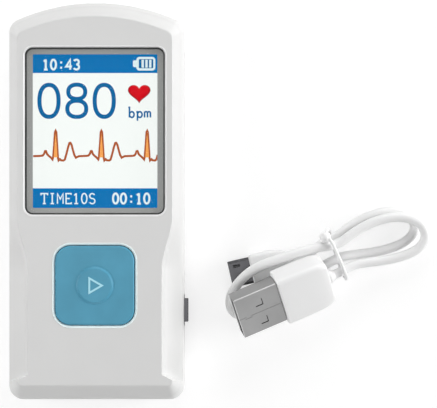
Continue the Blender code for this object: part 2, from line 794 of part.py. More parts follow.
def case_screws():
    head_low = SCREW_RECESS_DEPTH - GAP - SCREW_HEAD_HEIGHT
    head_high = SCREW_RECESS_DEPTH - GAP
    profile = (
        (SCREW_DRIVE_RADIUS / 2, head_low + SCREW_DRIVE_DEPTH),
        (SCREW_DRIVE_RADIUS, head_low),
        (SCREW_HEAD_RADIUS - SCREW_HEAD_EDGE, head_low),
        (SCREW_HEAD_RADIUS, head_low + SCREW_HEAD_EDGE),
        (SCREW_HEAD_RADIUS, head_high),
        (SCREW_SHANK_RADIUS, head_high),
        (SCREW_SHANK_RADIUS, screw_top_z - SCREW_SHANK_RADIUS),
        (SCREW_SHANK_RADIUS / 2, screw_top_z),
    )
    for name, x, y in screw_places:
        add_object(name, turned(profile, x, y, 3), "steel")


# Lens and display


def lens():
    plate(
        "display_lens", "lens_clear", LENS_WIDTH, LENS_HEIGHT, LENS_CORNER,
        lens_z, lens_top, 0.0, lens_y, 4,
    )
    outer = rounded_outline(LENS_WIDTH, LENS_HEIGHT, LENS_CORNER)
    inner = rounded_outline(window_width, window_height, LENS_CORNER / 2)
    high_z = gasket_z + GASKET_THICKNESS
    rings = [
        upright(outer, gasket_z, 0.0, lens_y),
        upright(outer, high_z, 0.0, lens_y),
        upright(inner, high_z, 0.0, lens_y),
        upright(inner, gasket_z, 0.0, lens_y),
    ]
    add_object("lens_gasket", loft(rings, closed=True), "foam_black")


def display():
    panel_y = (panel_low_y + panel_high_y) / 2
    panel_height = panel_high_y - panel_low_y
    panel_top = panel_z + PANEL_THICKNESS
    plate(
        "lcd_panel", "panel_glass", panel_width, panel_height, DISPLAY_CORNER,
        panel_z, panel_top, 0.0, panel_y,
    )

    backlight_low_y = panel_low_y + BACKLIGHT_TAIL
    backlight_y = (backlight_low_y + panel_high_y) / 2
    backlight_height = panel_high_y - backlight_low_y
    backlight_top = backlight_z + BACKLIGHT_THICKNESS
    plate(
        "backlight_unit", "backlight_white", panel_width, backlight_height, DISPLAY_CORNER,
        backlight_z, backlight_top, 0.0, backlight_y,
    )
    foam_width = panel_width - 2 * FOAM_MARGIN
    foam_height = backlight_height - 2 * FOAM_MARGIN
    foam_top = foam_z + FOAM_THICKNESS
    plate(
        "display_foam", "foam_black", foam_width, foam_height, DISPLAY_CORNER,
        foam_z, foam_top, 0.0, backlight_y,
    )
    display_bezel(panel_y, panel_height)
    display_flex(backlight_low_y)


def display_bezel(panel_y, panel_height):
    """A sheet frame over the panel, with a skirt down to the backlight's underside."""
    inner_width = panel_width + 2 * GAP
    inner_height = panel_height + 2 * GAP
    outer_width = inner_width + 2 * BEZEL_SHEET
    outer_height = inner_height + 2 * BEZEL_SHEET
    skirt = rounded_outline(inner_width, inner_height, DISPLAY_CORNER)
    outside = rounded_outline(outer_width, outer_height, DISPLAY_CORNER + BEZEL_SHEET)
    window = rounded_outline(window_width, window_height, DISPLAY_CORNER)
    plate_top = bezel_plate_z + BEZEL_SHEET
    rings = [
        upright(outside, backlight_z, 0.0, panel_y),
        upright(outside, plate_top, 0.0, panel_y),
        upright(window, plate_top, 0.0, lens_y),
        upright(window, bezel_plate_z, 0.0, lens_y),
        upright(skirt, bezel_plate_z, 0.0, panel_y),
        upright(skirt, backlight_z, 0.0, panel_y),
    ]
    add_object("display_bezel", loft(rings, closed=True), "steel")


def display_flex(backlight_low_y):
    """The flex from the panel's tail, folded under it to its connector on the board."""
    start_z = panel_z - GAP - FLEX_THICKNESS / 2
    end_z = board_top + GAP + CONNECTOR_HEIGHT + GAP + FLEX_THICKNESS / 2
    bend = (start_z - end_z) / 2
    bend_y = panel_low_y + GAP + bend
    bend_z = (start_z + end_z) / 2
    connector_y = bend_y + CONNECTOR_LENGTH / 2
    path = [(backlight_low_y - GAP, start_z)]
    for angle in spaced(math.radians(90), math.radians(270), 7):
        path.append((bend_y + bend * math.cos(angle), bend_z + bend * math.sin(angle)))
    path.append((connector_y, end_z))
    add_object("display_flex", strip(path, FLEX_THICKNESS, FLEX_WIDTH), "polyimide")
    plate(
        "flex_connector", "plastic_ivory", FLEX_WIDTH, CONNECTOR_LENGTH, CHIP_CORNER,
        board_top + GAP, board_top + GAP + CONNECTOR_HEIGHT, 0.0, connector_y,
    )


# Key and its switch


def key_ring(size, corner, z):
    return upright(rounded_outline(size, size, corner, 6), z, 0.0, key_y)


def disc_ring(radius, z):
    return upright(round_outline(radius, 6), z, 0.0, key_y)


def keycap():
    """The key: a cap with a raised disc, a flange that holds it in and a post over the switch."""
    top_z = face_z + KEY_PROUD
    flange_size = KEY_SIZE + 2 * KEY_FLANGE
    flange_corner = KEY_CORNER + KEY_FLANGE
    flange_top = ceiling_z - GAP
    flange_low = flange_top - KEY_FLANGE_THICKNESS
    inner_size = KEY_SIZE - 2 * KEY_WALL
    inner_corner = KEY_CORNER - KEY_WALL
    post_z = plunger_top() + FILM_GAP
    edge_corner = KEY_CORNER - KEY_EDGE
    rings = [
        disc_ring(KEY_POST_RADIUS, post_z),
        disc_ring(KEY_POST_RADIUS, top_z - KEY_WALL),
        key_ring(inner_size, inner_corner, top_z - KEY_WALL),
        key_ring(inner_size, inner_corner, flange_low),
        key_ring(flange_size, flange_corner, flange_low),
        key_ring(flange_size, flange_corner, flange_top),
        key_ring(KEY_SIZE, KEY_CORNER, flange_top),
        key_ring(KEY_SIZE, KEY_CORNER, top_z - KEY_EDGE),
        key_ring(KEY_SIZE - KEY_EDGE / 2, KEY_CORNER - KEY_EDGE / 4, top_z - KEY_EDGE / 3),
        key_ring(KEY_SIZE - 2 * KEY_EDGE, edge_corner, top_z),
        disc_ring(KEY_DISC_RADIUS, top_z),
        disc_ring(KEY_DISC_RADIUS - KEY_DISC_EDGE / 3, top_z + KEY_DISC_HEIGHT * 2 / 3),
        disc_ring(KEY_DISC_RADIUS - KEY_DISC_EDGE, top_z + KEY_DISC_HEIGHT),
    ]
    add_object("keycap", loft(rings), "key_blue")


def switch_top():
    return board_top + FILM_GAP + SWITCH_HEIGHT


def plunger_top():
    return switch_top() + PLUNGER_PROUD


def key_switch():
    low_z = board_top + FILM_GAP
    body = rounded_outline(SWITCH_SIZE, SWITCH_SIZE, SWITCH_CORNER)
    well = round_outline(PLUNGER_RADIUS + GAP)
    rings = [
        upright(body, low_z, 0.0, key_y),
        upright(body, switch_top(), 0.0, key_y),
        upright(well, switch_top(), 0.0, key_y),
        upright(well, switch_top() - PLUNGER_WELL, 0.0, key_y),
    ]
    add_object("switch_body", loft(rings), "plastic_black")
    plunger = ((PLUNGER_RADIUS, plunger_top() - PLUNGER_LENGTH), (PLUNGER_RADIUS, plunger_top()))
    add_object("switch_plunger", turned(plunger, 0.0, key_y), "plastic_ivory")


# Board, port and power


def main_board():
    """The board, with a notch in its right edge that the port sits in."""
    middle_y = (board_low_y + board_high_y) / 2
    outline = rounded_outline(board_width, board_high_y - board_low_y, BOARD_CORNER)
    blank = loft([upright(outline, z, 0.0, middle_y) for z in (board_z, board_top)])
    board = add_object("main_board", blank, "board_green")
    low_x = port_back_x - GAP
    high_x = half_width + OVERRUN
    notch = rounded_outline(high_x - low_x, PORT_WIDTH + 2 * GAP, GAP, 2)
    middle_x = (low_x + high_x) / 2
    cutter = loft([upright(notch, z, middle_x, port_y) for z in (board_z - OVERRUN, board_top + OVERRUN)])
    cut(board, "port_notch", cutter)
    for chip in chips:
        low_z = board_top + FILM_GAP
        plate(
            chip.name, chip.material, chip.width, chip.length, CHIP_CORNER,
            low_z, low_z + chip.height, chip.x, key_y + chip.y, 1,
        )


def port_outline(inset=0.0):
    half_y = PORT_WIDTH / 2 - inset
    half_z = PORT_HEIGHT / 2 - inset
    return [(half_y * share_y, half_z * share_z) for share_y, share_z in port_outline_shares]


def usb_port():
    """The port's steel shell, closed at the back, with a flap standing out above and below its mouth."""
    rings = [
        across(port_outline(), port_back_x, port_y, port_z),
        across(port_outline(), port_mouth_x, port_y, port_z),
        across(port_outline(PORT_SHEET), port_mouth_x, port_y, port_z),
        across(port_outline(PORT_SHEET), port_back_x + PORT_SHEET, port_y, port_z),
    ]
    shell = add_object("usb_port_shell", loft(rings), "steel_dark")
    flap = rounded_outline(PORT_FLAP_WIDTH, PORT_SHEET, PORT_SHEET / 3, 1)
    for side in (-1, 1):
        z = port_z + side * (PORT_HEIGHT - PORT_SHEET) / 2
        reach = half_width + PORT_FLAP_REACH
        rings = [across(flap, x, port_y, z) for x in (port_mouth_x - PORT_SHEET, reach)]
        unite(shell, f"port_flap_{side + 1}", loft(rings))

    tongue = rounded_outline(PORT_TONGUE_WIDTH, PORT_TONGUE_THICKNESS, PORT_TONGUE_THICKNESS / 4, 1)
    tongue_back = port_back_x + PORT_SHEET + FILM_GAP
    rings = [across(tongue, x, port_y, port_z) for x in (tongue_back, port_mouth_x - PORT_SHEET)]
    add_object("usb_port_tongue", loft(rings), "plastic_black")


def battery():
    top_z = battery_z + BATTERY_THICKNESS
    plate(
        "battery_cell", "battery_foil", BATTERY_WIDTH, BATTERY_LENGTH, BATTERY_CORNER,
        battery_z, top_z, 0.0, battery_y,
    )
    plate(
        "battery_pad", "foam_black", BATTERY_WIDTH - 2 * PAD_MARGIN, BATTERY_LENGTH - 2 * PAD_MARGIN,
        BATTERY_CORNER, pad_z, pad_z + PAD_THICKNESS, 0.0, battery_y,
    )
    connector_top = board_z - FILM_GAP
    plate(
        "battery_connector", "plastic_ivory", BATTERY_CONNECTOR_WIDTH, BATTERY_CONNECTOR_LENGTH,
        CHIP_CORNER, connector_top - BATTERY_CONNECTOR_HEIGHT, connector_top,
        BATTERY_CONNECTOR_X, battery_connector_y, 1,
    )
    for name, side in (("red", -1), ("black", 1)):
        battery_lead(name, side * LEAD_SPACING / 2)
    beeper = (
        (BEEPER_RADIUS, board_z - FILM_GAP - BEEPER_HEIGHT),
        (BEEPER_RADIUS, board_z - FILM_GAP),
    )
    add_object("beeper", turned(beeper, beeper_x, lower_electrode_y), "plastic_black")


def battery_lead(name, shift):
    """A lead from the cell's top end face, bent round into the connector's face."""
    start = Vector((LEAD_OFFSET + shift, battery_high_y + GAP, battery_z + BATTERY_THICKNESS / 2))
    end = Vector(
        (
            BATTERY_CONNECTOR_X + BATTERY_CONNECTOR_WIDTH / 2 + GAP,
            battery_connector_y + shift,
            board_z - FILM_GAP - BATTERY_CONNECTOR_HEIGHT / 2,
        )
    )
    corner = Vector((start.x, end.y, end.z))
    points = []
    for share in spaced(0.0, 1.0, 9):
        points.append(start * (1 - share) ** 2 + corner * 2 * share * (1 - share) + end * share**2)
    tube(f"battery_lead_{name}", points, LEAD_RADIUS, f"lead_{name}", 1)


# Electrodes


def electrodes():
    """Three skin electrodes, each with a stud through the back and a spring contact up to the board."""
    for name, x, y, width, height in electrode_places:
        outline = rounded_outline(width, height, ELECTRODE_CORNER)
        stud = round_outline(ELECTRODE_STUD_RADIUS)
        plate_top = ELECTRODE_RECESS + ELECTRODE_THICKNESS
        rings = [
            upright(outline, ELECTRODE_RECESS, x, y),
            upright(outline, plate_top, x, y),
            upright(stud, plate_top, x, y),
            upright(stud, stud_top, x, y),
        ]
        add_object(f"electrode_{name}", loft(rings), "electrode_steel")

        low_z = stud_top + FILM_GAP + CONTACT_THICKNESS / 2
        high_z = board_z - FILM_GAP - CONTACT_THICKNESS / 2
        half_pad = ELECTRODE_STUD_RADIUS / 2
        path = (
            (half_pad, low_z),
            (-half_pad, low_z),
            (CONTACT_PAD - CONTACT_REACH, high_z),
            (-CONTACT_REACH, high_z),
        )
        leaf = strip(path, CONTACT_THICKNESS, CONTACT_WIDTH)
        contact = add_object(f"electrode_contact_{name}", leaf, "brass")
        contact.location = (x, y, 0.0)


# The bundled lead


def tube(name, points, radius, finish, resolution):
    """A round tube through points, as a curve with filled ends."""
    curve = bpy.data.curves.new(name, "CURVE")
    curve.dimensions = "3D"
    curve.bevel_depth = radius
    curve.bevel_resolution = resolution
    curve.use_fill_caps = True
    spline = curve.splines.new("POLY")
    spline.points.add(len(points) - 1)
    for target, point in zip(spline.points, points):
        target.co = (*point, 1.0)
    curve.materials.append(material(finish))
    made = bpy.data.objects.new(name, curve)
    bpy.context.scene.collection.objects.link(made)
    return made


def sheet_tube(width, height, corner, sheet, length):
    """A rectangular tube of sheet, open at both ends, along +X from the origin."""
    outer = rounded_outline(width, height, corner, 2)
    inner = rounded_outline(width - 2 * sheet, height - 2 * sheet, corner - sheet / 2, 2)
    rings = [across(outer, 0.0), across(outer, length), across(inner, length), across(inner, 0.0)]
    return loft(rings, closed=True)


def overmold(length, width, thickness, corner, body_shares):
    """A moulded grip along -X from the origin, ending in a short neck round the cord."""
    rings = []
    for along, wide, thick in body_shares:
        outline = rounded_outline(width * wide, thickness * thick, corner * thick)
        rings.append(across(outline, -length * along))
    rings.append(across(round_outline(NECK_DIAMETER / 2), -length))
    rings.append(across(round_outline(NECK_END_DIAMETER / 2), -length - NECK_LENGTH))
    return loft(rings)


def turn_matrix(angles):
    roll, pitch, heading = (math.radians(angle) for angle in angles)
    return Matrix.Rotation(heading, 3, "Z") @ Matrix.Rotation(pitch, 3, "Y") @ Matrix.Rotation(roll, 3, "X")


def rest_height(angles, length, width, thickness, corner, body_shares):
    """How high the plug's axis starts, with the lowest edge of its overmold on the surface."""
    down = turn_matrix(angles).transposed() @ Vector((0.0, 0.0, -1.0))
    sideways = math.hypot(down.y, down.z)
    depths = []
    for along, wide, thick in body_shares:
        radius = corner * thick
        flat_y = (width * wide / 2 - radius) * abs(down.y)
        flat_z = (thickness * thick / 2 - radius) * abs(down.z)
        depths.append(flat_y + flat_z + radius * sideways - length * along * down.x)
    return max(depths)


def plug_frame(name, place, angles, length, width, thickness, corner, body_shares):
    """An empty at the middle of the overmold's front face, with +X towards the plug's tip."""
    empty = bpy.data.objects.new(name, None)
    height = rest_height(angles, length, width, thickness, corner, body_shares)
    empty.location = (place[0], place[1], height)
    empty.rotation_euler = [math.radians(angle) for angle in angles]
    bpy.context.scene.collection.objects.link(empty)
    return empty


def frame_point(angles, origin, along):
    """A point on the plug's axis, in the case's frame."""
    return Vector(origin) + turn_matrix(angles) @ Vector((along, 0.0, 0.0))


def attach(child, parent):
    child.parent = parent
    return child


def usb_a_plug():
    tip_run = turn_matrix(USB_A_ANGLES) @ Vector((USB_A_EXPOSED + FILM_GAP, 0.0, 0.0))
    face = (USB_A_MOUTH[0] - tip_run.x, USB_A_MOUTH[1] - tip_run.y)
    body = (USB_A_BODY_LENGTH, USB_A_BODY_WIDTH, USB_A_BODY_THICKNESS, USB_A_BODY_CORNER, usb_a_body_shares)
    frame = plug_frame("usb_a_frame", face, USB_A_ANGLES, *body)
    attach(add_object("usb_a_overmold", overmold(*body), "cord_white"), frame)

    sleeve = sheet_tube(USB_A_WIDTH, USB_A_HEIGHT, USB_A_CORNER, USB_A_SHEET, USB_A_EXPOSED)
    shell = attach(add_object("usb_a_shell", sleeve, "steel"), frame)
    shell.location = (FILM_GAP, 0.0, 0.0)
    for side in (-1, 1):
        window = rounded_outline(USB_A_WINDOW, USB_A_WINDOW, USB_A_SHEET / 2, 1)
        x = USB_A_EXPOSED - USB_A_WINDOW_FROM_TIP
        y = side * USB_A_WINDOW_SPACING / 2
        cutter = loft([upright(window, z, x, y) for z in (-USB_A_HEIGHT, USB_A_HEIGHT)])
        tool = add_object(f"usb_a_window_{side + 1}", cutter, "plastic_black")
        attach(tool, frame)
        tool.location = (FILM_GAP, 0.0, 0.0)
        boolean(shell, tool, "DIFFERENCE")

    inner_width = USB_A_WIDTH - 2 * (USB_A_SHEET + GAP)
    inner_height = USB_A_HEIGHT - 2 * (USB_A_SHEET + GAP)
    base = rounded_outline(inner_width, inner_height, CHIP_CORNER, 1)
    tongue = rounded_outline(inner_width, USB_A_TONGUE_THICKNESS, CHIP_CORNER, 1)
    tongue_z = (inner_height - USB_A_TONGUE_THICKNESS) / 2
    rings = [
        across(base, 0.0),
        across(base, USB_A_BASE_LENGTH),
        across(tongue, USB_A_BASE_LENGTH, 0.0, tongue_z),
        across(tongue, USB_A_EXPOSED - USB_A_TONGUE_INSET, 0.0, tongue_z),
    ]
    block = attach(add_object("usb_a_tongue", loft(rings), "plastic_black"), frame)
    block.location = (FILM_GAP, 0.0, 0.0)
    return frame


def micro_b_outline(inset=0.0):
    half_y = MICRO_B_WIDTH / 2 - inset
    half_z = MICRO_B_HEIGHT / 2 - inset
    return [(half_y * share_y, half_z * share_z) for share_y, share_z in port_outline_shares]


def micro_b_plug():
    body = (
        MICRO_B_BODY_LENGTH, MICRO_B_BODY_WIDTH, MICRO_B_BODY_THICKNESS, MICRO_B_BODY_CORNER,
        micro_b_body_shares,
    )
    frame = plug_frame("micro_b_frame", MICRO_B_FACE, MICRO_B_ANGLES, *body)
    attach(add_object("micro_b_overmold", overmold(*body), "cord_white"), frame)

    rings = [
        across(micro_b_outline(), 0.0),
        across(micro_b_outline(), MICRO_B_EXPOSED),
        across(micro_b_outline(MICRO_B_SHEET), MICRO_B_EXPOSED),
        across(micro_b_outline(MICRO_B_SHEET), 0.0),
    ]
    shell = attach(add_object("micro_b_shell", loft(rings, closed=True), "steel_dark"), frame)
    shell.location = (FILM_GAP, 0.0, 0.0)

    bar_corner = MICRO_B_TONGUE_THICKNESS / 4
    bar = rounded_outline(MICRO_B_TONGUE_WIDTH, MICRO_B_TONGUE_THICKNESS, bar_corner, 1)
    rings = [across(bar, 0.0), across(bar, MICRO_B_EXPOSED - MICRO_B_SHEET)]
    tongue = attach(add_object("micro_b_tongue", loft(rings), "plastic_black"), frame)
    tongue.location = (FILM_GAP, 0.0, 0.0)
    return frame


def height_at(heights, share):
    for (low_share, low), (high_share, high) in zip(heights, heights[1:]):
        if share <= high_share:
            return blend(low, high, smoothstep((share - low_share) / (high_share - low_share)))
    return heights[-1][1]


def loop_points(lobe, count=24):
    """One loop of the cord, out from the tie and back: a teardrop whose two runs part at the tie."""
    heading = math.radians(lobe.heading)
    widest = 4 / (3 * math.sqrt(3))
    points = []
    for share in spaced(lobe.first_share, 1.0, count):
        angle = math.tau * share
        along = lobe.length * math.sin(angle / 2) ** 2
        swing = lobe.half_width * math.sin(angle) * math.sin(angle / 2) / widest
        aside = blend(lobe.start_offset, lobe.end_offset, share) + lobe.bow * math.sin(angle) ** 2 - swing
        x = TIE_CENTRE[0] + along * math.cos(heading) - aside * math.sin(heading)
        y = TIE_CENTRE[1] + along * math.sin(heading) + aside * math.cos(heading)
        points.append(Vector((x, y, height_at(lobe.heights, share))))
    return points


def smooth_curve(points, steps=16):
    """A dense smooth curve through the points, with steps centred on how far apart they are."""
    ends = [points[0] * 2 - points[1]] + list(points) + [points[-1] * 2 - points[-2]]
    dense = []
    for before, low, high, after in zip(ends, ends[1:], ends[2:], ends[3:]):
        times = [0.0]
        for first, second in ((before, low), (low, high), (high, after)):
            times.append(times[-1] + math.sqrt(max((second - first).length, CORD_DIAMETER / 100)))
        for step in range(steps):
            time = blend(times[1], times[2], step / steps)
            dense.append(curve_point((before, low, high, after), times, time))
    dense.append(points[-1])
    return dense


def curve_point(points, times, time):
    """A point of the smooth curve between the middle two of four points passed at the given times."""
    row = list(points)
    for span in (1, 2):
        row = [
            row[index].lerp(row[index + 1], (time - times[index]) / (times[index + span] - times[index]))
            for index in range(len(row) - 1)
        ]
    return row[0].lerp(row[1], (time - times[1]) / (times[2] - times[1]))


def evenly(points, count):
    """The curve read again at equal steps along its length."""
    lengths = [0.0]
    for first, second in zip(points, points[1:]):
        lengths.append(lengths[-1] + (second - first).length)
    result = []
    index = 0
    for target in spaced(0.0, lengths[-1], count):
        while index < len(points) - 2 and lengths[index + 1] < target:
            index += 1
        span = max(lengths[index + 1] - lengths[index], CORD_DIAMETER / 1000)
        result.append(points[index].lerp(points[index + 1], min((target - lengths[index]) / span, 1.0)))
    return result


def cord_ends(angles, origin, body_length):
    """Where a plug's cord starts, and the point one diameter further out."""
    start = frame_point(angles, origin, -body_length - NECK_LENGTH - CORD_TO_NECK)
    straight = frame_point(angles, origin, -body_length - NECK_LENGTH - CORD_TO_NECK - CORD_DIAMETER)
    return start, straight


def usb_lead():
    usb_a_start, usb_a_straight = cord_ends(USB_A_ANGLES, usb_a_plug().location, USB_A_BODY_LENGTH)
    micro_b_start, micro_b_straight = cord_ends(MICRO_B_ANGLES, micro_b_plug().location, MICRO_B_BODY_LENGTH)
    route = [usb_a_start, usb_a_straight]
    route += [Vector(point) for point in from_usb_a]
    route += loop_points(outer_loop)
    route += [Vector(point) for point in left_bend]
    route += loop_points(inner_loop)
    route += [Vector(point) for point in to_micro_b]
    route += [micro_b_straight, micro_b_start]
    points = evenly(smooth_curve(route), CORD_POINTS)
    tube("usb_cable", points, CORD_DIAMETER / 2, "cord_white", 1)
    report_gap("usb_cable", points, CORD_DIAMETER)
    tie = evenly(smooth_curve([Vector(point) for point in tie_route]), 2 * len(tie_route))
    tube("cable_tie", tie, TIE_DIAMETER / 2, "cord_white", 1)
    report_gap("cable_tie", tie, TIE_DIAMETER)


def report_gap(name, points, diameter):
    """Prints a tube's length and its least gap to itself, measured between points of a finer line."""
    length = sum((second - first).length for first, second in zip(points, points[1:]))
    fine = evenly(points, 4 * len(points))
    step = length / (len(fine) - 1)
    apart = int(2.5 * diameter / step) + 1
    least = min(
        (fine[first] - fine[second]).length
        for first in range(len(fine))
        for second in range(first + apart, len(fine))
    )
    print(f"{name}: {length * 1000:.1f} mm long, least gap to itself {(least - diameter) * 1000:.2f} mm")


def weigh_normals():
    """Keeps flat faces looking flat beside smooth bevels: the large faces lead the shading."""
    for made in bpy.data.objects:
        if made.type == "MESH" and not made.hide_render:
            modifier = made.modifiers.new("weighted_normals", "WEIGHTED_NORMAL")
            modifier.keep_sharp = True


def build():
    clear_scene()
    front_shell()
    rear_shell()
    case_screws()
    lens()
    display()
    keycap()
    key_switch()
    main_board()
    usb_port()
    battery()
    electrodes()
    usb_lead()
    weigh_normals()


build()
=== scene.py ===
"""Looks of the handheld ECG monitor and its USB lead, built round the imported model.

Metres. +X is the monitor's right side, +Y its arched top end and +Z comes out of the display.
"""

import json
import math
from collections import namedtuple

import bmesh
import bpy
from mathutils import Matrix, Vector


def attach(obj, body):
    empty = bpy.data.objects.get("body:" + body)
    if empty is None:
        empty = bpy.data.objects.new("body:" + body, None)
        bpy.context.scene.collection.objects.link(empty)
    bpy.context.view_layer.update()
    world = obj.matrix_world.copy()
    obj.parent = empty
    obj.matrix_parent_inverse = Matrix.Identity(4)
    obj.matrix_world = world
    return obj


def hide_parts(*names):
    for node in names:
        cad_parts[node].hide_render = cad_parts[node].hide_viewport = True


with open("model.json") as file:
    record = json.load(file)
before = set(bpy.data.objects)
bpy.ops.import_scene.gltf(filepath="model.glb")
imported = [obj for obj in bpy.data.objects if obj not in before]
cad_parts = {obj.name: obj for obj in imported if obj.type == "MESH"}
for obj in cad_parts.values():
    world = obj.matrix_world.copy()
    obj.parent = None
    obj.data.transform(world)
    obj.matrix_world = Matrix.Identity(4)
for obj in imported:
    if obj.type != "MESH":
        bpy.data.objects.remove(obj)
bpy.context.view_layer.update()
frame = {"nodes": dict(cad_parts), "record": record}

# Clearances
GAP = 0.0003
FILM_GAP = 0.00015
OVERRUN = 0.0012
FINE = 0.00001

# Front face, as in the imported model
FOOT_BEVEL = 0.00455
KEY_TO_FOOT = 0.0150
KEY_SIZE = 0.0198
KEY_TO_LENS = 0.0081
LENS_HEIGHT = 0.0414
TOP_MARGIN = 0.0079
TOP_BEVEL = 0.00435
LENS_WIDTH = 0.0346
FACE_BORDER = 0.0020
EDGE_BEVEL = 0.00305
GRIP_BEVEL = 0.00565

# Case outline
TOP_ARC_RADIUS = 0.0497
TOP_CORNER_RADIUS = 0.0036
FOOT_CORNER_RADIUS = 0.0038
FACE_CORNER_RADIUS = 0.0022
FACE_FOOT_CORNER_RADIUS = 0.0010
CASE_WALL = 0.0016
REAR_WALL = 0.00165
REAR_FLOOR = 0.0016
BACK_EDGE_WIDTH = 0.0032
BACK_EDGE_HEIGHT = 0.0042
LIP_INSET = 0.00085
LIP_HEIGHT = 0.0010
PARTING_GAP = 0.0003
GRIP_FADE_ABOVE_KEY = 0.0077
GRIP_FULL_BELOW_KEY_TOP = 0.0060
GRIP_END_ABOVE_BEVEL = 0.0023
GRIP_END_FALL_SHARE = 0.42
GRIP_END_STEP = 0.0001

# Heights of the layers
FACE_Z = 0.0150
REAR_EDGE_Z = 0.0066
LEDGE_Z = 0.0124
LEDGE_TOP = 0.0132
GASKET_TOP = 0.01365
LENS_Z = 0.0138
LENS_TOP = 0.0148
PANEL_TOP = 0.0117

# Lens, display and openings
LENS_CORNER = 0.0017
LENS_CLEARANCE = 0.00025
LENS_LEDGE = 0.0011
LENS_EDGE = 0.00025
WINDOW_RIB = 0.0017
OPENING_EDGE = 0.00035
PRINT_WIDTH = 0.0313
PRINT_HEIGHT = 0.0386
PRINT_CORNER = 0.0003
PRINT_THICKNESS = 0.00005
# Width of the dark band at the lens's edge, and width and top of the black foam in the gap round the lens:
# painted shade of that gap
EDGE_SHADE_WIDTH = 0.00016
GAP_SHADE_WIDTH = 0.00022
GAP_SHADE_TOP = 0.0146
WINDOW_RIM_WIDTH = 0.00045
RIM_PROUD = 0.00003

# Picture on the display, in units of its own dots
PICTURE_CENTRE = (-0.00013, 0.01775)
PICTURE_WIDTH = 0.03147
PICTURE_HEIGHT = 0.03882
PICTURE_MARGIN = 0.0002
PICTURE_LAYER = 0.00004
DOTS_ACROSS = 128
DOTS_DOWN = 160
DIGIT_SQUARENESS = 0.88

# Key
KEY_CORNER = 0.0038
KEY_CLEARANCE = 0.0003
KEY_PROUD = 0.0002
KEY_EDGE = 0.0004
KEY_WALL = 0.0012
KEY_FLANGE = 0.0012
KEY_FLANGE_THICKNESS = 0.0007
KEY_DISC_RADIUS = 0.0046
KEY_DISC_HEIGHT = 0.0003
KEY_DISC_EDGE = 0.0011
KEY_DISC_DIP = 0.00022
KEY_RING_GAP = 0.00010
KEY_RING_WIDTH = 0.00066
KEY_POST_RADIUS = 0.0020
KEY_POST_TOP = 0.0122
SIGN_RADIUS = 0.0021
SIGN_LINE = 0.00048
SIGN_DEPTH = 0.00006

# Port
PORT_WIDTH = 0.0075
PORT_HEIGHT = 0.0025
PORT_DEPTH = 0.0053
PORT_SHEET = 0.0003
PORT_FLAP_WIDTH = 0.0059
PORT_FLAP_REACH = 0.00095
PORT_MOUTH_INSET = 0.0001
PORT_TONGUE_WIDTH = 0.0037
PORT_TONGUE_THICKNESS = 0.0006
PORT_FROM_FOOT = 0.0228
CONTACT_PITCH = 0.00065
CONTACT_LINE = 0.00035

# Back of the case
ELECTRODE_RECESS = 0.0001
ELECTRODE_THICKNESS = 0.0005
ELECTRODE_CORNER = 0.0040
ELECTRODE_EDGE = 0.00018
ELECTRODE_STUD_RADIUS = 0.0015
ELECTRODE_STUD_RISE = 0.0006
SOUND_HOLE_RADIUS = 0.0006
SOUND_HOLE_PITCH = 0.0024
SOUND_HOLE_X = -0.0146
SCREW_X_FROM_SIDE = 0.0081
SCREW_FROM_FOOT = 0.0069
TOP_SCREW_Y = 0.04155
SCREW_CLEARANCE = 0.0003
SCREW_HEAD_RADIUS = 0.0019
SCREW_HEAD_HEIGHT = 0.0014
SCREW_SHANK_RADIUS = 0.0010
SCREW_SHANK_LENGTH = 0.0085
SCREW_RECESS_DEPTH = 0.0022
SCREW_CROSS_WIDTH = 0.0005
SCREW_CROSS_REACH = 0.0011
SCREW_CROSS_DEPTH = 0.0008
BOSS_WALL = 0.0008
FRONT_BOSS_RADIUS = 0.0023
PILOT_EXTRA_DEPTH = 0.0006

# USB A plug of the lead
USB_A_WIDTH = 0.0120
USB_A_HEIGHT = 0.0045
USB_A_EXPOSED = 0.01175
USB_A_SHEET = 0.0003
USB_A_CORNER = 0.0006
USB_A_WINDOW = 0.0020
USB_A_WINDOW_SPACING = 0.0056
USB_A_WINDOW_FROM_TIP = 0.0062
USB_A_LEAF_GAP = 0.00017
USB_A_SEAM_STEP_FROM_TIP = 0.0026
USB_A_SEAM_STEP = 0.0013
USB_A_BASE_LENGTH = 0.0024
USB_A_TONGUE_THICKNESS = 0.0018
USB_A_TONGUE_INSET = 0.0008
USB_A_SEAM_WIDTH = 0.00014
USB_A_SEAM_DEPTH = 0.00008
USB_A_CONTACT_WIDTH = 0.0011
USB_A_CONTACT_THICKNESS = 0.00012
USB_A_CONTACT_SHARES = (-0.32, -0.10, 0.10, 0.32)
USB_A_BODY_LENGTH = 0.0135
USB_A_BODY_WIDTH = 0.0138
USB_A_BODY_THICKNESS = 0.0072
USB_A_BODY_CORNER = 0.0013
USB_A_MOUTH = (0.0356, -0.0292)
USB_A_ANGLES = (-32, -7, 202.5)

# Micro B plug of the lead
MICRO_B_WIDTH = 0.00685
MICRO_B_HEIGHT = 0.0018
MICRO_B_EXPOSED = 0.0056
MICRO_B_SHEET = 0.00025
MICRO_B_TONGUE_WIDTH = 0.0042
MICRO_B_TONGUE_THICKNESS = 0.00055
MICRO_B_HOOK = 0.0009
MICRO_B_HOOK_SHARE = 0.28
MICRO_B_HOOK_FROM_TIP = 0.00216
MICRO_B_BODY_LENGTH = 0.0100
MICRO_B_BODY_WIDTH = 0.0080
MICRO_B_BODY_THICKNESS = 0.0050
MICRO_B_BODY_CORNER = 0.0011
MICRO_B_FACE = (0.0396, -0.0177)
MICRO_B_ANGLES = (0, 0, 193.1)

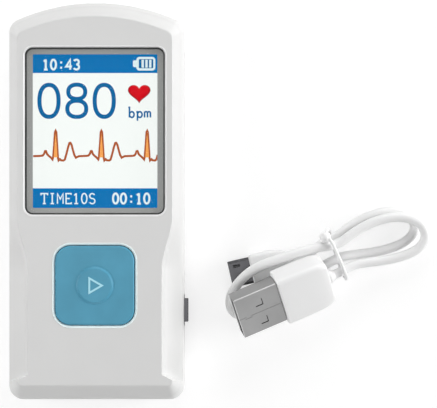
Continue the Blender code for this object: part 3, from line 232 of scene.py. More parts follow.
# Cord of the lead
CORD_DIAMETER = 0.0025
CORD_POINTS = 320
NECK_LENGTH = 0.0012
NECK_DIAMETER = 0.0036
NECK_END_DIAMETER = 0.0031
CORD_TO_NECK = 0.0003
NECK_LIP = 0.0008
TIE_CENTRE = (0.0618, -0.0136)
TIE_DIAMETER = 0.0009
TIE_KNOT_RADIUS = 0.0014
TIE_KNOT_OVER = 0.18
TIE_KNOT_TWIST = 0.10
TIE_KNOT_TURN = 7
TIE_KNOT_END_SHARE = 0.04

# Camera, floor, lamps and world
CAMERA_PLACE = (0.0310, -0.0007, 0.4150)
CAMERA_LENS = 131.6
CAMERA_SENSOR = 36
CAMERA_NEAR = 0.01
CAMERA_FAR = 10
FLOOR_SIZE = 3.0
FLOOR_ALBEDO = 0.86
FLOOR_SEEN_ALBEDO = 0.40
FLOOR_LIFT = 0.68
FLOOR_ROUGHNESS = 0.9
WORLD_AMBIENT = 0.10
LAMP_AIM = (0.02, 0.0, 0.01)
# Name, place, size and power in watts of each soft lamp
lamps = (
    ("lamp_right", (0.95, 0.15, 0.27), 0.50, 8.6),
    ("lamp_left", (-0.46, 0.06, 0.20), 0.30, 1.25),
    ("lamp_top", (0.05, 0.60, 0.24), 0.40, 1.9),
    ("lamp_foot", (0.02, -0.60, 0.24), 0.40, 1.15),
    ("lamp_above", (-0.10, 0.0, 0.80), 0.30, 0.95),
)

# Shares and counts that the materials use
TINT_DETAIL = 4.0
TINT_RAMP = (0.30, 0.70)
GRAIN_DETAIL = 3.0
GLOSS_SPREAD = 0.07
BUMP_STRENGTH = 0.6
LENS_ALPHA = 0.02
DISPLAY_GLOW = 0.87
DISPLAY_DIM = 0.80
DISPLAY_ROUGHNESS = 0.4
DOT_LINE_SHARE = 1 / 12
DOT_LINE_BLUR = 0.3
DOT_CHANGE = 0.985
DOT_LINE_TINT = 0.93

# Limits of a ribbon's sharp turns, counts of points, and angles in degrees from which edges stay sharp
LEAST_RUN = 0.2
LEAST_MITRE = 0.5
OUTLINE_STEPS = 8
EDGE_STEPS = 4
CASE_CORNER_POINTS = 14
CASE_ARC_POINTS = 30
CASE_SIDE_POINTS = 12
GRIP_POINTS = 26
LOOP_POINTS = 24
TIE_POINTS = 136
CORD_RESOLUTION = 8
TIE_RESOLUTION = 5
CURVE_STEPS = 16
KNOT_STEPS = 24
KNOT_SIDES = 18
DISC_POINTS = 12
HEART_POINTS = 48
DIGIT_POINTS = 48
SHARP_ANGLE = 32
CASE_SHARP_ANGLE = 28
SOFT_SHARP_ANGLE = 50
KNOT_SHARP_ANGLE = 60

# Shares of the bevel's width and of the drop from the face to the parting line, then the same in the grips
rim_shares = (
    (1.00, 0.000, 1.000, 0.000),
    (0.93, 0.015, 0.965, 0.020),
    (0.86, 0.055, 0.930, 0.080),
    (0.66, 0.190, 0.830, 0.280),
    (0.50, 0.305, 0.640, 0.385),
    (0.37, 0.400, 0.400, 0.490),
    (0.25, 0.480, 0.135, 0.600),
    (0.08, 0.660, 0.050, 0.670),
    (0.00, 1.000, 0.000, 1.000),
)
rim_lead_in = (1.10, -0.004, 1.04, -0.004)
inner_rows = (7, 6, 5, 4, 3, 0)

# Shares of the back edge's width and height, from the flat back outwards
back_shares = (
    (1.00, 0.00),
    (0.62, 0.07),
    (0.33, 0.22),
    (0.12, 0.48),
    (0.02, 0.78),
    (0.00, 1.00),
)
back_lead_in = (1.30, 0.0)
back_inner_rows = (3, 1, 0)

# Shares of the port's half width and half height, round its mouth
port_shares = (
    (1.00, -1.00),
    (1.00, 0.10),
    (0.80, 1.00),
    (-0.80, 1.00),
    (-1.00, 0.10),
    (-1.00, -1.00),
)

# Shares of an overmold's length, width and thickness, from its front face to its rear
usb_a_body_shares = (
    (0.00, 0.955, 0.92),
    (0.02, 0.985, 0.97),
    (0.06, 1.00, 1.00),
    (0.45, 1.00, 1.00),
    (0.80, 0.97, 0.97),
    (0.95, 0.885, 0.905),
    (0.99, 0.83, 0.85),
    (1.00, 0.78, 0.80),
)
micro_b_body_shares = (
    (0.00, 0.95, 0.92),
    (0.03, 0.985, 0.98),
    (0.07, 1.00, 1.00),
    (0.50, 1.00, 1.00),
    (0.82, 0.84, 0.92),
    (0.97, 0.64, 0.82),
    (1.00, 0.58, 0.76),
)

# Shares of the width of a neck and of its length, from the overmold outwards
neck_shares = ((0.00, 1.00), (0.25, 1.00), (0.32, 0.92), (0.45, 0.92), (0.52, 0.98), (0.80, 0.95))

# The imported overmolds' own shares, by which the plugs rest on the surface
usb_a_rest_shares = (
    (0.00, 0.97, 0.95),
    (0.06, 1.00, 1.00),
    (0.45, 1.00, 1.00),
    (0.80, 0.97, 0.97),
    (0.96, 0.88, 0.90),
    (1.00, 0.80, 0.82),
)
micro_b_rest_shares = (
    (0.00, 0.97, 0.95),
    (0.07, 1.00, 1.00),
    (0.50, 1.00, 1.00),
    (0.82, 0.84, 0.92),
    (1.00, 0.60, 0.78),
)

# The step in the seam of the USB A shell, in shares of its length and of a window's width
seam_shares = ((-0.5, 0.0), (-0.7, 0.25), (0.7, 0.25), (0.5, 0.0))

# Sizes worked out from those above
case_width = LENS_WIDTH + 2 * FACE_BORDER + 2 * EDGE_BEVEL
case_length = FOOT_BEVEL + KEY_TO_FOOT + KEY_SIZE + KEY_TO_LENS + LENS_HEIGHT + TOP_MARGIN + TOP_BEVEL
half_width = case_width / 2
lens_size = (LENS_WIDTH, LENS_HEIGHT, LENS_CORNER)
key_size = (KEY_SIZE, KEY_SIZE, KEY_CORNER)
dot = PICTURE_WIDTH / DOTS_ACROSS
foot_y = -case_length / 2
top_y = case_length / 2
key_y = foot_y + FOOT_BEVEL + KEY_TO_FOOT + KEY_SIZE / 2
lens_y = key_y + KEY_SIZE / 2 + KEY_TO_LENS + LENS_HEIGHT / 2
port_y = foot_y + PORT_FROM_FOOT
front_edge_z = REAR_EDGE_Z + PARTING_GAP
port_z = (REAR_EDGE_Z + front_edge_z) / 2
port_mouth_x = half_width - PORT_MOUTH_INSET
port_back_x = port_mouth_x - PORT_DEPTH
rim_drop = FACE_Z - front_edge_z
lip_top = REAR_EDGE_Z + LIP_HEIGHT
ceiling_z = FACE_Z - CASE_WALL
key_top = FACE_Z + KEY_PROUD
screw_x = half_width - SCREW_X_FROM_SIDE
screw_top_z = SCREW_RECESS_DEPTH - GAP + SCREW_SHANK_LENGTH
screw_places = (
    ("case_screw_foot_left", -screw_x, foot_y + SCREW_FROM_FOOT),
    ("case_screw_foot_right", screw_x, foot_y + SCREW_FROM_FOOT),
    ("case_screw_top_left", -screw_x, TOP_SCREW_Y),
    ("case_screw_top_right", screw_x, TOP_SCREW_Y),
)
electrode_places = (
    ("electrode_lower", 0.0, -0.0330, 0.0220, 0.0110),
    ("electrode_left", -0.0095, 0.0310, 0.0150, 0.0110),
    ("electrode_right", 0.0095, 0.0310, 0.0150, 0.0110),
)

Level = namedtuple("Level", "edge grip top foot z grip_z depth low_grip")
Lobe = namedtuple("Lobe", "heading length half_width bow start_offset end_offset first_share heights")

# Loops of the cord to the right of the tie: a height is a share of the loop and the cord's centre height
outer_loop = Lobe(
    14.6, 0.0234, 0.0042, 0.0009, -0.0030, 0.0024, 0.17,
    ((0.17, 0.0038), (0.25, 0.0032), (0.45, 0.0038), (0.58, 0.0044), (0.72, 0.0043), (1.00, 0.0052)),
)
inner_loop = Lobe(
    17.0, 0.0217, 0.0038, 0.0006, -0.0009, 0.0042, 0.00,
    ((0.00, 0.0026), (0.06, 0.0026), (0.20, 0.0013), (0.80, 0.0013), (0.94, 0.0026), (1.00, 0.0026)),
)

# The cord's route, given point by point, where it doesn't loop
from_usb_a = (
    (0.0644, -0.0168, 0.0046),
    (0.0662, -0.0162, 0.0041),
)
left_bend = (
    (0.0577, -0.0116, 0.0056),
    (0.0538, -0.0124, 0.0063),
    (0.0498, -0.0136, 0.0067),
    (0.0463, -0.0148, 0.0067),
    (0.0429, -0.0160, 0.0068),
    (0.0398, -0.0175, 0.0066),
    (0.0373, -0.0195, 0.0061),
    (0.0354, -0.0218, 0.0051),
    (0.0342, -0.0241, 0.0035),
    (0.0338, -0.0264, 0.0022),
    (0.0344, -0.0286, 0.0015),
    (0.0365, -0.0299, 0.0013),
    (0.0392, -0.0291, 0.0013),
    (0.0416, -0.0267, 0.0013),
    (0.0441, -0.0242, 0.0013),
    (0.0473, -0.0221, 0.0013),
    (0.0511, -0.0202, 0.0013),
    (0.0550, -0.0182, 0.0015),
    (0.0586, -0.0164, 0.0021),
)
to_micro_b = (
    (0.0581, -0.0107, 0.0025),
    (0.0556, -0.0124, 0.0023),
)

# The tie's route, given point by point, over the cords, under them and into its two twisted ends
tie_route = (
    (0.0583, -0.0098, 0.0076),
    (0.0590, -0.0095, 0.0076),
    (0.0600, -0.0106, 0.0074),
    (0.0610, -0.0127, 0.0071),
    (0.0621, -0.0151, 0.0069),
    (0.0629, -0.0172, 0.0070),
    (0.0637, -0.0192, 0.0062),
    (0.0638, -0.0199, 0.0043),
    (0.0632, -0.0187, 0.0021),
    (0.0625, -0.0168, 0.0008),
    (0.0618, -0.0147, 0.0005),
    (0.0610, -0.0122, 0.0005),
    (0.0603, -0.0100, 0.0005),
    (0.0598, -0.0082, 0.0009),
    (0.0593, -0.0073, 0.0025),
    (0.0588, -0.0078, 0.0043),
    (0.0582, -0.0085, 0.0057),
)

# One heartbeat of the trace, in dots from the tall peak: along, then above the base line
beat = (
    (-15.5, 0.0), (-13.2, 0.4), (-11.8, 2.2), (-10.8, 5.0), (-9.9, 5.0), (-8.8, 2.0),
    (-7.4, 0.4), (-5.0, -1.6), (-3.2, -3.8), (-2.5, -1.0), (-1.5, 12.0), (-0.7, 24.6),
    (0.0, 26.4), (0.7, 24.6), (1.5, 12.0), (2.4, -2.0), (3.0, -4.8), (4.4, -3.4), (5.6, -4.6),
    (8.0, -4.8), (9.4, -3.8), (10.8, 1.0), (12.8, 9.0), (14.2, 13.4), (15.2, 13.6), (16.4, 11.4),
    (17.8, 6.0), (19.2, 1.0), (20.8, -1.9), (22.4, -1.0), (24.0, -0.3), (31.4, 0.0),
)
peak_inside = ((-1.9, -1.6), (-1.0, 13.0), (0.0, 23.5), (1.0, 13.0), (1.9, -1.6))
first_peak = 23.4
beat_period = 47.0
base_line = 106.0
trace_weight = 2.2
trace_overrun = 1.0

# Parts of the picture, in dots from its top left corner
top_bar_bottom = 19.8
low_bar_top = 139.7
# Centre along and down, half width, half height and weight of the rings of the big figures
rate_rings = (
    (16.6, 48.7, 9.8, 16.6, 4.3),
    (45.1, 39.3, 8.7, 7.4, 4.2),
    (45.1, 57.0, 9.7, 8.4, 4.2),
    (73.3, 48.7, 9.8, 16.6, 4.3),
)
# Left, base line, pitch of the letters, unit of their cell, weight of their lines, and layer
unit_text = (97.4, 66.6, 8.2, 1.5, 1.7, 1)
clock_text = (9.4, 16.9, 7.9, 1.55, 2.1, 2)
words_text = (7.8, 156.4, 8.2, 1.6, 1.35, 2)
timer_text = (81.0, 156.4, 8.0, 1.6, 2.1, 2)
# Centre along and down, and half size
heart_place = (109.2, 40.2, 11.6)
heart_inside_place = (109.2, 39.6, 10.2)
heart_height_share = 0.92
# Left, top, right, bottom and corner of each box of the battery sign
battery_box = (106.2, 3.0, 125.8, 17.2, 3.2)
battery_tip_box = (102.8, 6.6, 107.2, 13.6, 1.2)
battery_inside_box = (108.8, 5.4, 123.6, 14.8, 1.0)
battery_bar_box = (111.6, 6.0, 114.0, 14.2, 0.4)
battery_bar_pitch = 3.9
least_corner = 0.02

# Letters as lines in a cell five units wide, with capitals seven units high


def bow(centre_x, centre_y, radius_x, radius_y, start, end, steps=14):
    """Points of part of an ellipse, from one angle to another, in degrees."""
    points = []
    for step in range(steps + 1):
        angle = math.radians(start + (end - start) * step / steps)
        points.append((centre_x + radius_x * math.cos(angle), centre_y + radius_y * math.sin(angle)))
    return points


letter_lines = {
    "1": ([(2.5, 0.5), (2.5, 7.2)], [(1.2, 5.8), (2.5, 7.0)], [(1.3, 0.5), (3.7, 0.5)]),
    "3": (bow(2.4, 5.5, 1.6, 1.6, 155, -90) + bow(2.4, 2.2, 1.8, 1.7, 90, -155),),
    "4": ([(3.4, 0.4), (3.4, 7.1), (0.7, 2.5), (4.5, 2.5)],),
    ":": ([(1.9, 1.7), (3.1, 1.7)], [(1.9, 5.2), (3.1, 5.2)]),
    "T": (
        [(0.4, 5.9), (0.4, 7.0), (4.6, 7.0), (4.6, 5.9)],
        [(2.5, 7.0), (2.5, 0.5)],
        [(1.5, 0.5), (3.5, 0.5)],
    ),
    "I": ([(2.5, 7.0), (2.5, 0.5)], [(1.4, 7.0), (3.6, 7.0)], [(1.4, 0.5), (3.6, 0.5)]),
    "M": ([(0.7, 0.4), (0.7, 7.0), (2.5, 3.4), (4.3, 7.0), (4.3, 0.4)],),
    "E": (
        [(4.3, 6.2), (4.3, 7.0), (1.1, 7.0), (1.1, 0.5), (4.4, 0.5), (4.4, 1.4)],
        [(1.1, 3.8), (3.4, 3.8)],
    ),
    "S": (bow(2.5, 5.4, 1.6, 1.6, 25, 270) + bow(2.5, 2.1, 1.7, 1.7, 90, -155),),
    "b": ([(0.4, 7.4), (1.2, 7.4), (1.2, 0.4)],),
    "p": ([(0.4, 4.3), (1.2, 4.3), (1.2, -1.9)],),
    "m": (
        [(0.6, 0.4), (0.6, 4.5)],
        bow(1.6, 3.3, 1.0, 1.1, 180, 0, 8) + [(2.6, 0.4)],
        bow(3.6, 3.3, 1.0, 1.1, 180, 0, 8) + [(4.6, 0.4)],
    ),
}
# Centre and radii of the letters' closed rings
letter_rings = {"0": (2.5, 3.8, 1.7, 3.3), "b": (2.8, 2.4, 1.6, 2.0), "p": (2.8, 2.4, 1.6, 2.0)}


def srgb(red, green, blue):
    """A colour as a screen shows it, from 0 to 255, as linear shares."""
    shares = []
    for value in (red, green, blue):
        share = value / 255
        shares.append(share / 12.92 if share < 0.04045 else ((share + 0.055) / 1.055) ** 2.4)
    return tuple(shares)


# Finish of each material slot. Sizes of the tint clouds and of the grain are in metres.
finishes = {
    "case_white": dict(
        colour=(0.725, 0.725, 0.72), roughness=0.42, tint=0.012, grain_depth=0.000003, specular=0.35,
    ),
    "key_blue": dict(
        colour=srgb(84, 157, 185), roughness=0.40, tint=0.06, tint_size=0.007, specular=0.22,
    ),
    "lens_clear": dict(colour=(0.10, 0.10, 0.11), roughness=0.05, tint=0.01, grain_depth=0.0),
    "panel_glass": dict(colour=(0.55, 0.60, 0.66), roughness=0.15, grain_depth=0.0),
    "backlight_white": dict(colour=(0.85, 0.86, 0.86), roughness=0.50),
    "steel": dict(
        colour=(0.30, 0.30, 0.30), roughness=0.33, metallic=1.0, tint=0.07, grain_size=0.00012,
        stretch=(0.08, 1.0, 1.0),
    ),
    "steel_dark": dict(
        colour=(0.07, 0.07, 0.074), roughness=0.34, metallic=1.0, tint=0.15, grain_size=0.00012,
        stretch=(0.08, 1.0, 1.0),
    ),
    "electrode_steel": dict(
        colour=(0.66, 0.66, 0.67), roughness=0.24, metallic=1.0, tint=0.04, grain_size=0.00010,
        grain_depth=0.000002, stretch=(0.04, 1.0, 1.0),
    ),
    "foam_black": dict(colour=(0.03, 0.03, 0.03), roughness=0.90, tint=0.3, tint_size=0.0005),
    "polyimide": dict(colour=(0.55, 0.27, 0.05), roughness=0.35, tint=0.08),
    "board_green": dict(colour=(0.02, 0.20, 0.09), roughness=0.45, tint=0.35, tint_size=0.0009),
    "chip_black": dict(colour=(0.03, 0.03, 0.03), roughness=0.50, tint=0.2),
    "plastic_black": dict(colour=(0.03, 0.03, 0.033), roughness=0.45, tint=0.2),
    "plastic_ivory": dict(colour=(0.80, 0.77, 0.68), roughness=0.50),
    "battery_foil": dict(colour=(0.62, 0.63, 0.66), roughness=0.35, metallic=1.0, tint=0.06),
    "lead_red": dict(colour=(0.55, 0.03, 0.03), roughness=0.45),
    "lead_black": dict(colour=(0.03, 0.03, 0.03), roughness=0.45),
    "brass": dict(colour=(0.75, 0.55, 0.25), roughness=0.28, metallic=1.0, tint=0.06),
    "cord_white": dict(
        colour=(0.87, 0.87, 0.87), roughness=0.38, tint=0.012, grain_size=0.00025, grain_depth=0.000003,
    ),
    "print_grey": dict(colour=srgb(165, 167, 165), roughness=0.40, tint=0.03),
    # Painted shade: the dark band at the edge of the lens, for the shade of the gap round it
    "painted_edge_shade": dict(colour=srgb(70, 72, 70), roughness=0.45, tint=0.05),
    "rim_painted_highlight": dict(colour=(0.90, 0.90, 0.90), roughness=0.35, tint=0.01),
    # Painted highlight: a pale rim colour for the light caught on the rounded edge of the window's opening
    "ring_painted_highlight_and_reflection": dict(colour=srgb(240, 254, 254), roughness=0.30, tint=0.01),
    # Painted highlight and painted reflection: a pale ring tinted by the blue key, for the light on the edge
    # of the key's opening
    "sign_blue": dict(colour=srgb(168, 225, 240), roughness=0.40, tint=0.02),
}
picture_colours = {
    "picture_white": srgb(250, 255, 252),
    "picture_blue": srgb(2, 116, 184),
    "picture_letters": srgb(226, 244, 246),
    "picture_digits": srgb(10, 102, 160),
    "picture_red": srgb(216, 2, 22),
    "picture_dark_red": srgb(160, 6, 24),
    "picture_trace": srgb(176, 88, 46),
    "picture_trace_inside": srgb(252, 170, 90),
}


# Materials


def set_inputs(tree, made, settings):
    """Gives a node's inputs their values, or links those that come from another node."""
    for name, value in settings.items():
        if isinstance(value, bpy.types.NodeSocket):
            tree.links.new(value, made.inputs[name])
        else:
            made.inputs[name].default_value = value
    return made


def add_node(tree, kind, settings):
    return set_inputs(tree, tree.nodes.new(f"ShaderNode{kind}"), settings)


def add_math(tree, operation, first, second):
    made = add_node(tree, "Math", {0: first, 1: second})
    made.operation = operation
    return made.outputs[0]


def map_range(tree, value, low, high):
    settings = {"Value": value, "To Min": low, "To Max": high}
    return add_node(tree, "MapRange", settings).outputs["Result"]


def object_place(tree, stretch=(1.0, 1.0, 1.0)):
    place = add_node(tree, "TexCoord", {})
    return add_node(tree, "Mapping", {"Scale": stretch, "Vector": place.outputs["Object"]}).outputs[0]


def noise(tree, place, size, detail):
    settings = {"Scale": 1 / size, "Detail": detail, "Vector": place}
    return add_node(tree, "TexNoise", settings).outputs["Fac"]


def opaque(colour, share=1.0):
    return (*[min(part * share, 1.0) for part in colour], 1.0)


def new_material(name):
    made = bpy.data.materials.new(name)
    made.use_nodes = True
    return made, made.node_tree, made.node_tree.nodes["Principled BSDF"]


def surface(
    name, colour, roughness, metallic=0.0, tint=0.03, tint_size=0.009, grain_size=0.0003,
    grain_depth=0.000004, stretch=(1.0, 1.0, 1.0), specular=0.5,
):
    """A moulded or metal finish: clouds of tint, uneven gloss and a fine grain."""
    made, tree, shader = new_material(name)
    ramp = add_node(tree, "ValToRGB", {"Fac": noise(tree, object_place(tree), tint_size, TINT_DETAIL)})
    for element, position, share in zip(ramp.color_ramp.elements, TINT_RAMP, (1 - tint, 1 + tint)):
        element.position = position
        element.color = opaque(colour, share)
    streaks = noise(tree, object_place(tree, stretch), grain_size, GRAIN_DETAIL)
    gloss = map_range(tree, streaks, max(roughness - GLOSS_SPREAD, 0.0), roughness + GLOSS_SPREAD)
    set_inputs(tree, shader, {
        "Metallic": metallic,
        "Specular IOR Level": specular,
        "Base Color": ramp.outputs["Color"],
        "Roughness": gloss,
    })
    if grain_depth:
        bump = add_node(tree, "Bump", {"Strength": BUMP_STRENGTH, "Distance": grain_depth, "Height": streaks})
        tree.links.new(bump.outputs["Normal"], shader.inputs["Normal"])
    return made


def lit_dots(name, colour):
    """A lit display colour with the fine dark lines between its dots."""
    made, tree, shader = new_material(name)
    grid = add_node(tree, "TexBrick", {
        "Scale": 1.0,
        "Brick Width": dot,
        "Row Height": dot,
        "Mortar Size": dot * DOT_LINE_SHARE,
        "Mortar Smooth": DOT_LINE_BLUR,
        "Color1": opaque(colour),
        "Color2": opaque(colour, DOT_CHANGE),
        "Mortar": opaque(colour, DOT_LINE_TINT),
        "Vector": object_place(tree),
    })
    grid.offset = 0.0
    dim = tree.nodes.new("ShaderNodeMix")
    dim.data_type = "RGBA"
    set_inputs(tree, dim, {0: DISPLAY_DIM, 6: grid.outputs["Color"], 7: (0.0, 0.0, 0.0, 1.0)})
    set_inputs(tree, shader, {
        "Roughness": DISPLAY_ROUGHNESS,
        "Specular IOR Level": 0.0,
        "Emission Strength": DISPLAY_GLOW,
        "Base Color": dim.outputs[2],
        "Emission Color": grid.outputs["Color"],
    })
    return made


materials = {name: surface(name, **values) for name, values in finishes.items()}
materials.update({name: lit_dots(name, colour) for name, colour in picture_colours.items()})
materials["lens_clear"].node_tree.nodes["Principled BSDF"].inputs["Alpha"].default_value = LENS_ALPHA


# Mesh helpers


def blend(low, high, share):
    return low + (high - low) * share


def spaced(low, high, count):
    return [blend(low, high, index / (count - 1)) for index in range(count)]


def smoothstep(share):
    share = min(max(share, 0.0), 1.0)
    return share * share * (3 - 2 * share)


def curve_point(points, times, time):
    """A point of the smooth curve between the middle two of four points passed at the given times."""
    row = list(points)
    for span in (1, 2):
        row = [
            row[index].lerp(row[index + 1], (time - times[index]) / (times[index + span] - times[index]))
            for index in range(len(row) - 1)
        ]
    return row[0].lerp(row[1], (time - times[1]) / (times[2] - times[1]))


def smooth_rows(rows, lead_in, steps=4):
    """Rows of shares read again more densely, along a smooth curve through them."""
    known = [Vector(row) for row in (lead_in, *rows)]
    known.append(known[-1] * 2 - known[-2])
    dense = []
    for four in zip(known, known[1:], known[2:], known[3:]):
        for step in range(steps):
            row = curve_point(four, range(4), 1 + step / steps)
            dense.append(tuple(min(max(value, 0.0), 1.0) for value in row))
    return dense + [rows[-1]]


def loft(rings, closed=False):
    """A solid through rings of equally many points, capped at both ends or joined end to end."""
    builder = bmesh.new()
    rows = [[builder.verts.new(point) for point in ring] for ring in rings]
    pairs = list(zip(rows, rows[1:]))
    if closed:
        pairs.append((rows[-1], rows[0]))
    else:
        builder.faces.new(rows[0])
        builder.faces.new(rows[-1])
    for lower, upper in pairs:
        for index, corner in enumerate(lower):
            after = (index + 1) % len(lower)
            builder.faces.new((corner, lower[after], upper[after], upper[index]))
    bmesh.ops.recalc_face_normals(builder, faces=builder.faces)
    return builder


def rounded_outline(width, height, radius, steps=OUTLINE_STEPS):
    """Points of a rounded rectangle about the origin, corner by corner."""
    radius = min(radius, width / 2, height / 2)
    points = []
    for corner, (side_x, side_y) in enumerate(((1, 1), (-1, 1), (-1, -1), (1, -1))):
        centre_x = side_x * (width / 2 - radius)
        centre_y = side_y * (height / 2 - radius)
        for step in range(steps + 1):
            angle = math.radians(90) * (corner + step / steps)
            points.append((centre_x + radius * math.cos(angle), centre_y + radius * math.sin(angle)))
    return points


def grown(size, grow):
    """Outline of a rounded rectangle, given as width, height and corner, moved out on all sides."""
    width, height, corner = size
    return rounded_outline(width + 2 * grow, height + 2 * grow, corner + grow)


def round_outline(radius):
    """As many points of a circle as rounded_outline has, at matching angles."""
    count = 4 * (OUTLINE_STEPS + 1)
    angles = [math.tau * (index + 0.5) / count for index in range(count)]
    return [(radius * math.cos(angle), radius * math.sin(angle)) for angle in angles]


def upright(outline, z, x=0.0, y=0.0):
    return [Vector((x + point[0], y + point[1], z)) for point in outline]


def across(outline, x, y=0.0, z=0.0):
    return [Vector((x, y + point[0], z + point[1])) for point in outline]


def post(outline, ends, x=0.0, y=0.0):
    """A solid of one outline between two heights."""
    return loft([upright(outline, z, x, y) for z in ends])


def rod(outline, ends, y=0.0, z=0.0):
    """A solid of one outline along X between two places."""
    return loft([across(outline, x, y, z) for x in ends])


def stacked(size, rows, x=0.0, y=0.0):
    """Rings of a rounded rectangle about a vertical axis, from (growth, z) pairs."""
    return [upright(grown(size, grow), z, x, y) for grow, z in rows]


def round_rings(profile, x=0.0, y=0.0):
    """Circles about a vertical axis, from (radius, z) pairs."""
    return [upright(round_outline(radius), z, x, y) for radius, z in profile]


def turned(profile, x=0.0, y=0.0):
    return loft(round_rings(profile, x, y))


def quarter(radius):
    """Inset and drop of a rounded edge, from the flat top to the side."""
    angles = spaced(0.0, math.radians(90), EDGE_STEPS + 1)
    return [(radius * (1 - math.sin(angle)), radius * (1 - math.cos(angle))) for angle in angles]


def ribbon(points, width, low_z, high_z, closed=False):
    """A flat line of one width through (x, y) points, as a thin solid."""
    places = [Vector(point) for point in points]
    rings = []
    for index, place in enumerate(places):
        before = places[index - 1] if index or closed else place
        after = places[(index + 1) % len(places)] if index < len(places) - 1 or closed else place
        first = (place - before).normalized() if before != place else (after - place).normalized()
        second = (after - place).normalized() if after != place else first
        run = (first + second).normalized() if (first + second).length > LEAST_RUN else first
        turn = max(abs(run.dot(first)), LEAST_MITRE)
        side = Vector((-run.y, run.x)) * width / 2 / turn
        left = place + side
        right = place - side
        rings.append([(*left, low_z), (*right, low_z), (*right, high_z), (*left, high_z)])
    return loft(rings, closed)


def add_object(name, data):
    made = bpy.data.objects.new(name, data)
    bpy.context.scene.collection.objects.link(made)
    return made


def shade(made, angle=SHARP_ANGLE):
    made.data.shade_smooth()
    made.data.set_sharp_from_angle(angle=math.radians(angle))
    return made


def weigh(made):
    """Lets the large faces lead the shading, so flat faces look flat beside round edges."""
    modifier = made.modifiers.new("weighted_normals", "WEIGHTED_NORMAL")
    modifier.keep_sharp = True
    return made


def repaint(made, finish):
    made.data.materials.clear()
    made.data.materials.append(materials[finish])
    for polygon in made.data.polygons:
        polygon.material_index = 0
    return made


def add_mesh(name, builder, finish, angle=SHARP_ANGLE):
    mesh = bpy.data.meshes.new(name)
    builder.to_mesh(mesh)
    builder.free()
    mesh.materials.append(materials[finish])
    return shade(add_object(name, mesh), angle)


def carve(target, operation, builders):
    """Cuts or adds solids one after another, and keeps one plain mesh."""
    for index, builder in enumerate(builders):
        tool = add_mesh(f"{target.name}_tool", builder, "plastic_black")
        modifier = target.modifiers.new(f"carve_{index}", "BOOLEAN")
        modifier.operation = operation
        modifier.solver = "EXACT"
        modifier.object = tool
        depsgraph = bpy.context.evaluated_depsgraph_get()
        mesh = bpy.data.meshes.new_from_object(target.evaluated_get(depsgraph))
        target.modifiers.clear()
        target.data = mesh
        bpy.data.objects.remove(tool, do_unlink=True)
    target.data.materials.clear()
    return target


def dress(made, body="monitor", node=None):
    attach(made, body)
    if node:
        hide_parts(node)
    return made


def dress_carved(made, finish, node, angle=SHARP_ANGLE):
    return dress(weigh(shade(repaint(made, finish), angle)), node=node)


def piece(name, builder, finish, node=None, body="monitor", angle=SHARP_ANGLE, even=False):
    """One finished piece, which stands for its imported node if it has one."""
    made = add_mesh(name, builder, finish, angle)
    if even:
        weigh(made)
    return dress(made, body, node)


# Camera


def set_camera():
    data = bpy.data.cameras.new("camera")
    data.lens = CAMERA_LENS
    data.sensor_width = CAMERA_SENSOR
    data.clip_start = CAMERA_NEAR
    data.clip_end = CAMERA_FAR
    camera = add_object("camera", data)
    camera.location = CAMERA_PLACE
    bpy.context.scene.camera = camera


set_camera()


# Lead: frames of its plugs


def turn_matrix(angles):
    roll, pitch, heading = (math.radians(angle) for angle in angles)
    return Matrix.Rotation(heading, 3, "Z") @ Matrix.Rotation(pitch, 3, "Y") @ Matrix.Rotation(roll, 3, "X")


def rest_height(angles, length, width, thickness, corner, body_shares):
    """How high the plug's axis starts, with the lowest edge of its overmold on the surface."""
    down = turn_matrix(angles).transposed() @ Vector((0.0, 0.0, -1.0))
    sideways = math.hypot(down.y, down.z)
    depths = []
    for along, wide, thick in body_shares:
        radius = corner * thick
        flat_y = (width * wide / 2 - radius) * abs(down.y)
        flat_z = (thickness * thick / 2 - radius) * abs(down.z)
        depths.append(flat_y + flat_z + radius * sideways - length * along * down.x)
    return max(depths)


usb_a_body = (USB_A_BODY_LENGTH, USB_A_BODY_WIDTH, USB_A_BODY_THICKNESS, USB_A_BODY_CORNER)
micro_b_body = (MICRO_B_BODY_LENGTH, MICRO_B_BODY_WIDTH, MICRO_B_BODY_THICKNESS, MICRO_B_BODY_CORNER)
usb_a_tip_run = turn_matrix(USB_A_ANGLES) @ Vector((USB_A_EXPOSED + FILM_GAP, 0.0, 0.0))
usb_a_origin = Vector((
    USB_A_MOUTH[0] - usb_a_tip_run.x,
    USB_A_MOUTH[1] - usb_a_tip_run.y,
    rest_height(USB_A_ANGLES, *usb_a_body, usb_a_rest_shares),
))
micro_b_origin = Vector((*MICRO_B_FACE, rest_height(MICRO_B_ANGLES, *micro_b_body, micro_b_rest_shares)))
usb_a_matrix = Matrix.Translation(usb_a_origin) @ turn_matrix(USB_A_ANGLES).to_4x4()
micro_b_matrix = Matrix.Translation(micro_b_origin) @ turn_matrix(MICRO_B_ANGLES).to_4x4()


# Lead: cord and tie


def height_at(heights, share):
    for (low_share, low), (high_share, high) in zip(heights, heights[1:]):
        if share <= high_share:
            return blend(low, high, smoothstep((share - low_share) / (high_share - low_share)))
    return heights[-1][1]


def loop_points(lobe):
    """One loop of the cord, out from the tie and back: a teardrop whose two runs part at the tie."""
    heading = math.radians(lobe.heading)
    widest = 4 / (3 * math.sqrt(3))
    points = []
    for share in spaced(lobe.first_share, 1.0, LOOP_POINTS):
        angle = math.tau * share
        along = lobe.length * math.sin(angle / 2) ** 2
        swing = lobe.half_width * math.sin(angle) * math.sin(angle / 2) / widest
        aside = blend(lobe.start_offset, lobe.end_offset, share) + lobe.bow * math.sin(angle) ** 2 - swing
        x = TIE_CENTRE[0] + along * math.cos(heading) - aside * math.sin(heading)
        y = TIE_CENTRE[1] + along * math.sin(heading) + aside * math.cos(heading)
        points.append(Vector((x, y, height_at(lobe.heights, share))))
    return points


